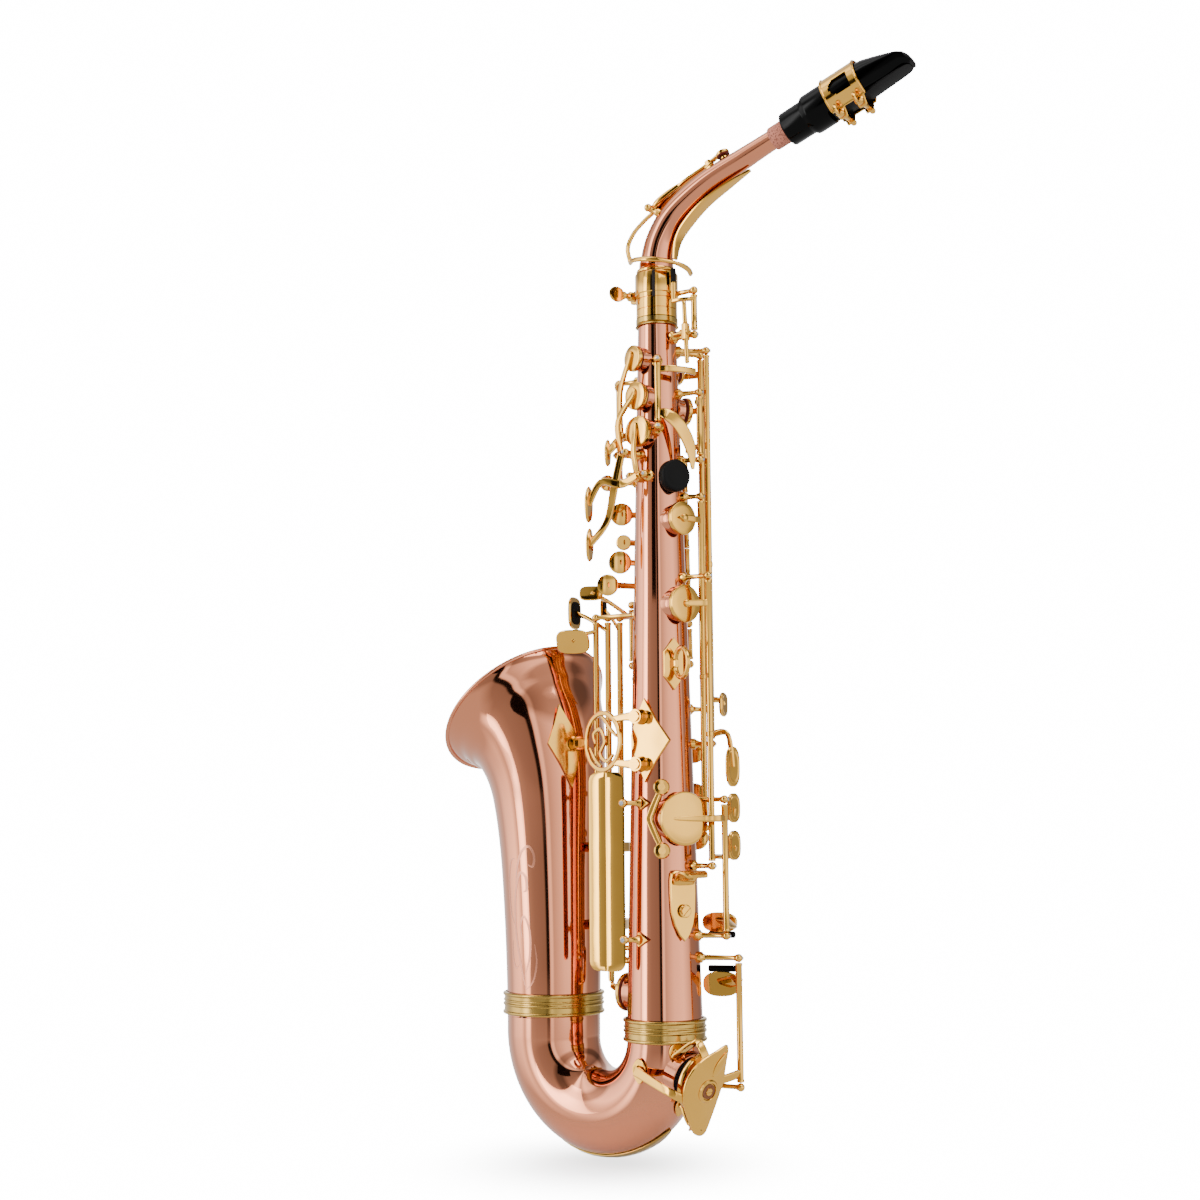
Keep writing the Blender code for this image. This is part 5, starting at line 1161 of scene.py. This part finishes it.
def sideKey(name, touchTop, touchLow, angle, radius):
    piece = startPiece()
    start, end = rodEnds(sideRods, name)
    top, out, cupRadius = holeTop(name)
    crown = crownOf(name)
    add(piece, hingeTube(start, end))
    cupParts(piece, top, out, cupRadius)
    base = Vector((start.x, start.y, min(crown.z, end.z - 6)))
    armTo(piece, base, crown, out, cupRadius, 4.8)
    low = start + up * 6
    middle = at(angle, radius, (touchTop + touchLow) / 2)
    add(piece, sweep([low, at(angle, radius - 3.0, low.z), middle], [4.6, 4.8, 4.6], 2.3,
                     up.lerp(Vector((0.4, 0.9, 0)), 0.5), 8))
    face = at(angle - 36, 1, 0)
    add(piece, plate(oval(12.5, touchTop - touchLow, 40, 0.7), middle, at(angle + 54, 1, 0), up, 2.2, 0.8))
    add(piece, plate(oval(9.5, (touchTop - touchLow) * 0.82, 40, 0.8), middle + face * 1.1,
                     at(angle + 54, 1, 0), up, 0.5, 0.2, dome=-0.7))
    guideZ = start.z + (end.z - start.z) * 0.45
    add(piece, lathe([(2.2, -1.5), (2.5, -1.2), (2.5, 1.2), (2.2, 1.5)],
                     Vector((start.x, start.y, guideZ)), up, 20))
    node = name + "_key"
    finishKey(piece, name, node)


sideKey("side_e", 180, 154, 30, 46.0)
sideKey("side_c", 150, 131, 34, 46.0)
sideKey("side_b_flat", 126, 107, 34, 46.0)
sideKey("high_f_sharp", 216, 200, 52, 42.0)

piece = startPiece()
start, end = rodEnds(pinkyRods, "low_e_flat")
top, out, radius = holeTop("low_e_flat")
crown = crownOf("low_e_flat")
add(piece, hingeTube(start, end))
cupParts(piece, top, out, radius)
base = Vector((start.x, start.y, crown.z))
spine = [base, Vector((base.x + 0.8, base.y - 8.0, base.z)),
         crown + (base - crown).normalized() * radius * 0.6 + out * 2.0, crown + out * 0.4,
         crown - (base - crown).normalized() * radius * 0.72 + out * 0.1]
add(piece, sweep(spine, [4.6, 4.6, 4.0, 3.2, 1.0], 2.2, out, 8))
knuckle = start + up * 7
touch = at(50, 37, knuckle.z)  # touches run out from the body
add(piece, sweep([knuckle, at(32, 44, knuckle.z), touch], [6, 8, 9], 2.2, up.lerp(at(40, 1, 0), 0.5), 8))
add(piece, plate(oval(24, 13, 40, 0.8), touch, at(15, 1, 0), up, 2.2, 0.7))
finishPiece("lowEFlatKey", piece, "low_e_flat_key", ["low_e_flat_key"])

piece = startPiece()
start, end = rodEnds(pinkyRods, "low_c")
crown = lowCTop + bowOut * (padLift + cupHeight)
add(piece, hingeTube(start, end))
cupParts(piece, lowCTop, bowOut, lowCHole[3])
base = Vector((start.x, start.y, crown.z + 4))
add(piece, sweep([base, base.lerp(crown, 0.5) + bowOut * 2.0, crown + bowOut * 0.4,
                  crown - (base - crown).normalized() * 9], [5.6, 5.6, 4.6, 1.6], 2.3, bowOut, 8))
knuckle = end - up * 12
touch = at(48, 41, knuckle.z - 6)
add(piece, sweep([knuckle, at(34, 47, knuckle.z - 3), touch], [6, 8, 9], 2.2,
                 up.lerp(at(40, 1, 0), 0.5), 8))
add(piece, plate(oval(24, 16, 40, 0.8), touch, at(15, 1, 0), up, 2.2, 0.7))
finishPiece("lowCKey", piece, "low_c_key", ["low_c_key"])

for node in ("e_flat_roller", "c_roller"):
    piece = startPiece()
    joint = jointOf[node]
    centre = Vector(joint["pos_m"]) * 1000 - origin
    axis = Vector(joint["axis"])
    add(piece, lathe([(1.7, -9), (2.2, -8.4), (2.2, 8.4), (1.7, 9)], centre, axis, 28), "resin")
    finishPiece("eFlatRoller" if node[0] == "e" else "cRoller", piece, node, [node])
print("stage: table, side and little finger keys made")


# pieces fixed to the body

piece = startPiece()
hookValues = {"angle": -22, "z": 81, "screwDrop": 5}
hookOut, hookAcross = at(hookValues["angle"], 1, 0), at(hookValues["angle"] + 90, 1, 0)
middle = offBody(hookValues["angle"], gap + 1.9, hookValues["z"])
outline = [(0, -24), (3.4, -20.5), (6.6, -14), (8.5, -6), (9, 6), (9, 14), (8.4, 18.6), (6, 20), (-6, 20),
           (-8.4, 18.6), (-9, 14), (-9, 6), (-8.5, -6), (-6.6, -14), (-3.4, -20.5)]
levels = ((0.4, 0.0), (0, 0.5), (0, 1.9), (0.5, 2.4))
add(piece, bentPlate(outline, middle, hookValues["angle"], (14, 14), levels))
face = middle + hookOut * 1.4
lip = [face + up * 12, face + up * 15 + hookOut * 2, face + up * 18.6 + hookOut * 7,
       face + up * 19.4 + hookOut * 12.5, face + up * 17 + hookOut * 17]
add(piece, sweep(lip, [15, 16.5, 18.4, 18.6, 15], 2.6, up - hookOut * 0.4, 8))
finishPiece("thumbHook", piece, "body", ["thumb_hook"])

piece = startPiece()
screwSpot = middle + hookOut * 2.2 - up * hookValues["screwDrop"]
add(piece, lathe([(4.0, -0.2), (4.2, 0.2), (4.2, 0.8), (3.6, 1.2)], screwSpot, hookOut, 32))
add(piece, slottedScrew(screwSpot + hookOut * 1.1, hookOut, 3.2, 1.2, hookAcross + up))
finishPiece("thumbHookScrew", piece, "body", ["thumb_hook_screw"])

piece = startPiece()
restValues = {"angle": -21, "z": 356, "radius": 10.6}
restOut, restRadius = at(restValues["angle"], 1, 0), restValues["radius"]
restBase = offBody(restValues["angle"], gap, restValues["z"]) - restOut * 1.2
add(piece, lathe([(restRadius - 1.2, 1.8), (restRadius - 0.2, 2.4), (restRadius, 3.2), (restRadius, 7.6),
                  (restRadius - 0.4, 8.4), (restRadius - 1.4, 8.95), (8.0, 9.0), (6.0, 8.6), (2.0, 8.3),
                  (0.4, 8.3)], restBase, restOut, 64), "thumbPlastic")
add(piece, lathe([(7.0, -1.5), (7.0, 2.2)], restBase, restOut, 32))
finishPiece("thumbRest", piece, "body", ["thumb_rest"])

piece = startPiece()
strapValues = {"angle": -27, "z": 233, "radius": 9.6, "width": 3.1, "thick": 3.3}
ringSide = at(strapValues["angle"] + 90, 1, 0)
middle = offBody(strapValues["angle"], gap + 1.2, strapValues["z"])
ringCentre = -origin
outline = [(0, 17), (3.5, 12.5), (7, 8), (7, 0), (7, -8), (3.5, -12.5), (0, -17), (-3.5, -12.5), (-7, -8),
           (-7, 0), (-7, 8), (-3.5, 12.5)]
levels = ((0.5, -0.8), (0, -0.3), (0, 0.6), (0.5, 1.1))
add(piece, bentPlate(outline, middle, strapValues["angle"], (9, 17), levels))
add(piece, sweep([middle, middle.lerp(ringCentre, 0.3)], [10, 6.5], 3.4, ringSide))
add(piece, hoop(ringCentre, ringSide, strapValues["radius"], strapValues["width"],
                strapValues["thick"], 56, 0.9))
finishPiece("strapRing", piece, "body", ["strap_ring"])

piece = startPiece()
braceValues = {"z": 184.0, "angle": -82, "ringRadius": 18.4, "armRise": 15.2, "turn": 14}
braceZ, braceTurn = braceValues["z"], math.radians(braceValues["turn"])
toward = Vector((-math.cos(braceTurn), math.sin(braceTurn), 0))
braceOut = Vector((-toward.y, toward.x, 0))
plateFace, plateAcross = at(braceValues["angle"], 1, 0), at(braceValues["angle"] + 90, 1, 0)
seat = offBody(braceValues["angle"], gap + 0.9, braceZ)
diamond = [(15, 0), (7.5, 13.5), (0, 27), (-6.5, 15.5), (-13, 4), (-13, -4),
           (-6.5, -15.5), (0, -27), (7.5, -13.5)]
levels = ((0.6, -0.5), (0, 0.0), (0, 1.1), (0.6, 1.6))
add(piece, bentPlate(diamond, seat, braceValues["angle"], (15, 27), levels))
centre = Vector((-28.0, -bodyRadius(braceZ) - 6.5, braceZ))
add(piece, hoop(centre, braceOut, braceValues["ringRadius"], 3.2, 2.6, 72, 0.5))
for rise in (braceValues["armRise"], -braceValues["armRise"]):
    boss = seat + plateFace * 1.0 + up * rise - plateAcross * 3.0
    head = boss + plateFace * 7.6
    add(piece, lathe([(5.2, -0.4), (4.6, 1.0), (4.4, 6.4), (4.6, 7.4)], boss, plateFace, 32))
    add(piece, slottedScrew(head, plateFace, 3.5, 1.1, plateAcross))
    edge = centre - toward * 12.4 + up * rise * 0.92
    neckOfArm = head - plateFace * 1.8
    add(piece, sweep([neckOfArm, neckOfArm.lerp(edge, 0.5) + up * rise * 0.03, edge],
                     [7, 5, 4.4], 2.4, braceOut))
scroll = [[(-11, -9), (-4, -13), (3, -8), (-2, 0), (3, 8), (10, 5), (8, -1)],
          [(-15, 3), (-8, 8), (-2, 14), (1, 16)], [(2, -16), (9, -11), (14, -4)]]
for line in scroll:
    points = [centre + toward * a + up * b for a, b in line]
    add(piece, sweep(points, [1.6] + [2.4] * (len(line) - 2) + [1.6], 1.8, braceOut, 8))
spot, size = bellSpot(braceZ)
aim = centre + toward * 4 - spot
aim.z = 0
aim.normalize()
seat = spot + aim * (size + gap + 1.4)
middleAngle = math.degrees(math.atan2(aim.y, aim.x)) - 8
rings = []
for inset, level in ((0.5, 0.4), (0, 0.9), (0, 1.8), (0.5, 2.3)):
    ring = []
    for a, b in [(2, 26), (7, 12), (12, 0), (7, -14), (2, -29), (-5, -14), (-12, 0), (-5, 13)]:
        centreHere, sizeHere = bellSpot(braceZ + b)
        ring.append(centreHere + at(middleAngle + math.degrees((a * (1 - inset / 12)) / sizeHere),
                                    sizeHere + level, 0))
    rings.append(ring)
add(piece, skin(rings))
add(piece, lathe([(4.9, 0.4), (4.4, 2.0), (4.2, 6.6), (4.4, 7.5)], seat, aim, 28))
add(piece, sweep([seat + aim * 5.5, centre + toward * 18], [7, 5], 2.8, braceOut))
finishPiece("bellBrace", piece, "body", ["bell_brace"])

piece = startPiece()
guardValues = {"turn": 14, "tall": 63.0, "wide": 12.5, "corner": 6.0, "posts": (144, 58)}
guardAcross = at(guardValues["turn"], 1, 0)
guardFace = guardAcross.cross(up)
guardMiddle = Vector((-19.5, -33.5, 101))
rings = []
tall, wide, corner = guardValues["tall"], guardValues["wide"], guardValues["corner"]
ends = [0, 0.25, 0.8, 1.6, 2.6, 4.0, 6.0]
for reach, z in [(d, d - tall) for d in ends] + [(d, tall - d) for d in reversed(ends)]:
    span = wide - corner + math.sqrt(corner ** 2 - (corner - reach) ** 2)
    ring = []
    for a, lift in ((-1, -0.6), (-1, -0.1), (-0.9, 0.4), (-0.5, 1.1), (-0.12, 1.6), (-0.05, 1.2),
                    (0.05, 1.2), (0.12, 1.6), (0.5, 1.1), (0.9, 0.4), (1, -0.1), (1, -0.6)):
        ring.append(guardMiddle + guardAcross * a * span + up * z + guardFace * lift)
    rings.append(ring)
add(piece, skin(rings))
for z in guardValues["posts"]:
    head = guardMiddle + guardAcross * 12
    head.z = z
    foot = offBody(-93, gap + 0.9, z)
    add(piece, lathe([(3.6, 0), (2.4, 1.4), (1.7, 3.4), (1.8, (head - foot).length)], foot, head - foot,
                     20))
    add(piece, ball(head, 3.0, guardFace))
    add(piece, plate([(-4, 0), (0, 4.6), (8, 0), (0, -4.6)], foot, at(-3, 1, 0), up, 1.6, 0.4))
    add(piece, lathe([(1.5, 0), (1.5, 1.0), (1.0, 1.4)], head - guardFace * -2.4, guardFace, 14), "steel")
finishPiece("rodGuard", piece, "body", ["rod_guard_plate"])

piece = startPiece()
guardUp = (up - bowOut * bowOut.z).normalized()
guardRight = guardUp.cross(bowOut).normalized()
middle = bowCentre + bowOut * 46.5 - guardRight * 4
outline = [(-10, -20), (-4, -28), (4, -29), (8, -18), (11, -6), (13, 4), (13, 16), (12, 28), (3, 25),
           (-8, 20), (-16, 12), (-19, 3), (-17, -8)]
add(piece, plate(outline, middle, guardRight, guardUp, 1.8, 0.6, 4, dome=1.1))
# painted shade: a dark patch laid on the guard where its hole would be, not a cut
add(piece, plate([(-4.2, 3.4), (4.2, 3.0), (3.4, -1), (0.4, -5.2), (-2.6, -2)],
                 middle - guardUp * 21 + bowOut * 0.8, guardRight, guardUp, 0.8, 0.3), "dark")
add(piece, lathe([(7.5, -3.2), (7.5, 2.2), (6.7, 3.0), (5.6, 3.0), (5.2, 2.2)], middle, bowOut, 36))
add(piece, lathe([(5.1, 0.8), (4.8, 2.7), (0.5, 2.8)], middle, bowOut, 28), "corkPad")
add(piece, slottedScrew(middle + bowOut * 2.7, bowOut, 2.4, 0.7, guardRight))
leaf = [(2, 9), (7, 11), (10.4, 17), (11, 24), (6, 20), (2.6, 15)]
add(piece, plate(leaf, middle + bowOut * 1.6, guardRight, guardUp, 0.9, 0.3, 5, dome=0.5))
feet = [((-12, -6), (-27, -2, 39), (0.10, 86)), ((-4, 20), (-10, 28, 38), (0.02, 36)),
        ((-1, -24), (-4, -27, 38), (0.17, 10))]
for (side, rise), (bendSide, bendRise, bendHeight), (share, twist) in feet:
    start = middle + guardRight * side + guardUp * rise
    bend = bowCentre + bowOut * bendHeight + guardRight * bendSide + guardUp * bendRise
    footCentre, footOut, footRadius = bowFrame(share, twist)
    foot = footCentre + footOut * (footRadius + 1.2)
    add(piece, sweep([start, bend, foot + footOut * 2.5, foot], [6, 5.2, 6.4, 8], 2.0,
                     bowOut.lerp(footOut, 0.3), 8))
    padRight = footOut.cross(up).normalized()
    add(piece, plate([(0, 8), (4, 3), (4.6, -3), (0, -8), (-4.6, -3), (-4, 3)], foot, padRight,
                     footOut.cross(padRight), 1.5, 0.4, 4))
    add(piece, slottedScrew(foot + footOut * 0.6, footOut, 1.9, 0.8, up))
finishPiece("lowCGuard", piece, "body", ["low_c_guard"])

piece = startPiece()
ends = [offBody(-53, 5.0, 154), offBody(-53, 5.0, 114)]
apex = offBody(-70, 3.6, 134)
add(piece, sweep([ends[0], apex + up * 3, apex - up * 3, ends[1]], [3.2, 4, 4, 3.2], 2.2, at(-60, 1, 0), 8))
add(piece, wire([ends[0] - up * 3, offBody(-64, 4.2, 139), offBody(-68, 3.8, 134), offBody(-64, 4.2, 129),
                 ends[1] + up * 3], [1.2] * 5, 8))
for end in ends:
    foot = offBody(-53, gap, end.z)
    add(piece, lathe([(4.2, 0), (3.6, 1.2), (2.3, 2.4), (2.2, 5)], foot, end - foot, 24))
    add(piece, lathe([(4.6, -0.4), (5.2, 0.4), (5.2, 1.6), (4.4, 2.6), (0.4, 3.0)], end, at(-53, 1, 0), 36))
    add(piece, slottedScrew(end + at(-53, 3.0, 0), at(-53, 1, 0), 2.4, 0.8, up + at(37, 1, 0)))
finishPiece("eFlatGuard", piece, "body", ["low_e_flat_guard"])

piece = startPiece()
lowSpot, lowSize = bellSpot(31.6)
highSpot, highSize = bellSpot(147.9)
y = bellHoleTop("low_b_flat")[0].y + cupHeight + 12.0
x = lowSpot.x
rail = [Vector((x, lowSize + 0.6, lowSpot.z)), Vector((x, y - 4, lowSpot.z + 2)),
        Vector((x, y, lowSpot.z + 12)), Vector((x, y, highSpot.z - 12)), Vector((x, y - 4, highSpot.z - 2)),
        Vector((x, highSize + 1.2, highSpot.z))]
add(piece, sweep(rail, [7.6, 6, 7.4, 7.4, 6, 7.6], 2.2, Vector((0, 1, 0.2)), 6))
for name in bellHoles:
    top, _, _, radius = bellHoleTop(name)
    spot = Vector((x, y - 2.0, top.z))
    add(piece, lathe([(7.2, 0), (8, 0.5), (8, 3.2), (7.2, 3.9), (3, 4.0), (0.5, 4.0)],
                     spot, Vector((0, 1, 0)), 36))
    add(piece, lathe([(5.5, -2.6), (5.5, 0.2)], spot, Vector((0, 1, 0)), 28), "felt")
    centre, size = bellSpot(top.z)
    edge = Vector((x - size * 0.9 - 3, 8 + size * 0.3, top.z))
    add(piece, sweep([spot + Vector((0, 1, 0)), Vector((x - radius - 5, y - 5, top.z)), edge], [6, 5.4, 6],
                     2.1, Vector((-0.3, 1, 0)), 8))
finishPiece("bellKeyGuard", piece, "body", ["bell_key_guard"])
print("stage: fixed pieces made")


# studio

cameraValues = {"azimuth": 38.0, "pitch": 6.5, "roll": -0.45, "distance": 1184.0, "height": 142.0,
                "aim": 1.911, "lens": 54.39}
azimuth = math.radians(cameraValues["azimuth"])
back = Vector((math.sin(azimuth), -math.cos(azimuth), 0))
spot = back * cameraValues["distance"] + up * cameraValues["height"] + origin
aim = math.radians(cameraValues["aim"])
ahead = -back * math.cos(aim) - Vector((math.cos(azimuth), math.sin(azimuth), 0)) * math.sin(aim)
right = ahead.cross(up)
pitch = math.radians(cameraValues["pitch"])
ahead = ahead * math.cos(pitch) + up * math.sin(pitch)
rise = right.cross(ahead)
roll = math.radians(cameraValues["roll"])
columns = (right * math.cos(roll) + rise * math.sin(roll), rise * math.cos(roll) - right * math.sin(roll),
           -ahead)
camera = bpy.data.objects.new("camera", bpy.data.cameras.new("camera"))
bpy.context.scene.collection.objects.link(camera)
camera.matrix_world = Matrix.Translation(spot * 0.001) @ Matrix(columns).transposed().to_4x4()
camera.data.lens = cameraValues["lens"]
camera.data.sensor_width = 36
camera.data.clip_start = 0.01
bpy.context.scene.camera = camera

floorMesh = bpy.data.meshes.new("floor")
low = (-86.0 + origin.z) * 0.001 - 0.0015
floorMesh.from_pydata([(-6, -6, low), (6, -6, low), (6, 6, low), (-6, 6, low)], [], [(0, 1, 2, 3)])
# painted shadow: a radial mask centred under the bow blends the lit floor into transparency, so near the
# bow the floor reads greyer than the bright backdrop as a soft contact shadow
paper, paperTree, shader = newMaterial("floorPaintedShadow", "F7F7F7", 0.8, 0.0)
place = addNode(paperTree, "ShaderNodeTexCoord")
spread = addNode(paperTree, "ShaderNodeMapping", (), {"Vector": place.outputs["Object"]})
spread.inputs["Location"].default_value = (0.46, -0.06, 0)
spread.inputs["Scale"].default_value = (6.4, 6.4, 0)
fade = addNode(paperTree, "ShaderNodeTexGradient", {"gradient_type": "SPHERICAL"},
               {"Vector": spread.outputs[0]})
paintedShadowMask = addNode(paperTree, "ShaderNodeMapRange", {"To Max": 0.85, "interpolation_type": "SMOOTHERSTEP"},
               {"Value": fade.outputs["Fac"]})
clear = addNode(paperTree, "ShaderNodeBsdfTransparent")
blendTo = addNode(paperTree, "ShaderNodeMixShader", (),
                  {0: paintedShadowMask.outputs[0], 1: clear.outputs[0], 2: shader.outputs[0]})
paperTree.links.new(blendTo.outputs[0], paperTree.nodes["Material Output"].inputs["Surface"])
floorMesh.materials.append(paper)
floor = bpy.data.objects.new("floor", floorMesh)
bpy.context.scene.collection.objects.link(floor)

skyValues = {"brightest": 5.0, "belowHorizon": 1.15, "behindObject": 16.0}
world = bpy.data.worlds.new("studio")
bpy.context.scene.world = world
world.use_nodes = True
tree = world.node_tree
background = tree.nodes["Background"]
# degrees round from the camera, brightness: soft boxes with dark gaps between them
bands = [(-180, 2.0), (-150, 1.3), (-120, 1.3), (-105, 3.0), (-85, 4.0), (-74, 1.8), (-66, 6.0), (-60, 6.0),
         (-55, 0.85), (-40, 0.62), (-15, 0.5), (-13, 0.02), (-7, 0.02), (-5, 2.2), (0, 2.6), (4, 1.3),
         (30, 2.4), (60, 2.8), (85, 1.6), (95, 0.6), (118, 0.5), (140, 0.35), (160, 1.2), (180, 2.0)]
place = addNode(tree, "ShaderNodeTexCoord")
parts = addNode(tree, "ShaderNodeSeparateXYZ", (), {0: place.outputs["Generated"]})
turn = addNode(tree, "ShaderNodeMath", {"operation": "ARCTAN2"},
               {0: parts.outputs["Y"], 1: parts.outputs["X"]})
shift = addNode(tree, "ShaderNodeMath", {"operation": "MULTIPLY_ADD", 1: 0.5 / math.pi,
                                         2: 0.5 + (90 - cameraValues["azimuth"]) / 360},
                                         {0: turn.outputs[0]})
share = addNode(tree, "ShaderNodeMath", {"operation": "FRACT"}, {0: shift.outputs[0]})
brightest = skyValues["brightest"]
ramp = addNode(tree, "ShaderNodeValToRGB", (), {"Fac": share.outputs[0]})
for index, (degrees, level) in enumerate(bands):
    stop = ramp.color_ramp.elements[index] if index < 2 else ramp.color_ramp.elements.new(1.0)
    stop.position = degrees / 360 + 0.5
    stop.color = (*[level / brightest] * 3, 1)
heights = addNode(tree, "ShaderNodeValToRGB", (), {"Fac": parts.outputs["Z"]})  # overhead dimmer
for index, (height, level) in enumerate([(0.34, 1.0), (0.44, 0.4), (0.6, 0.35), (0.72, 0.9),
                                         (0.92, 0.9), (1.0, 0.5)]):
    stop = heights.color_ramp.elements[index] if index < 2 else heights.color_ramp.elements.new(1.0)
    stop.position = height
    stop.color = (level, level, level, 1)
below = addNode(tree, "ShaderNodeMapRange", {"From Min": -0.35, "From Max": -0.1, "To Min": 1.0,
                                             "To Max": 0.0}, {"Value": parts.outputs["Z"]})
level = addNode(tree, "ShaderNodeMath", {"operation": "MULTIPLY"},
                {0: ramp.outputs["Color"], 1: heights.outputs["Color"]})
level = addNode(tree, "ShaderNodeMath", {"operation": "MULTIPLY", 1: brightest}, {0: level.outputs[0]})
toFloor = addNode(tree, "ShaderNodeMix", {"data_type": "FLOAT"}, {0: below.outputs[0], 2: level.outputs[0]})
toFloor.inputs[3].default_value = skyValues["belowHorizon"]
rays = addNode(tree, "ShaderNodeLightPath")
seen = addNode(tree, "ShaderNodeMix", {"data_type": "FLOAT"},
               {0: rays.outputs["Is Camera Ray"], 2: toFloor.outputs[0]})
seen.inputs[3].default_value = skyValues["behindObject"]
background.inputs["Color"].default_value = linear("FFFFFF")
tree.links.new(seen.outputs[0], background.inputs["Strength"])


def darkFlag(name, angle, distance, low, high, width):
    mesh = bpy.data.meshes.new(name)
    side = at(angle + 90, width / 2, 0)
    corners = [at(angle, distance, z) + side * sign
               for z, sign in ((low, -1), (low, 1), (high, 1), (high, -1))]
    mesh.from_pydata([tuple((corner + origin) * 0.001) for corner in corners], [], [(0, 1, 2, 3)])
    mesh.materials.append(paint["felt"])
    card = bpy.data.objects.new(name, mesh)
    bpy.context.scene.collection.objects.link(card)
    card.visible_camera = False
    card.visible_diffuse = False
    card.visible_shadow = False


darkFlag("upperFlag", -78, 800, 400, 1100, 250)


def areaLight(name, angle, distance, z, width, height, power):
    lamp = bpy.data.lights.new(name, "AREA")
    lamp.shape = "RECTANGLE"
    lamp.size, lamp.size_y = width * 0.001, height * 0.001
    lamp.energy = power
    light = bpy.data.objects.new(name, lamp)
    light.location = (at(angle, distance, z) + origin) * 0.001
    target = (Vector((-47, 0, 220)) + origin) * 0.001
    light.rotation_mode = "QUATERNION"
    light.rotation_quaternion = (target - light.location).to_track_quat("-Z", "Y")
    bpy.context.scene.collection.objects.link(light)


areaLight("leftSoftbox", -118, 1500, 600, 500, 1500, 9.0)
areaLight("topSoftbox", -20, 900, 1500, 700, 700, 6.0)
print("stage: studio made")
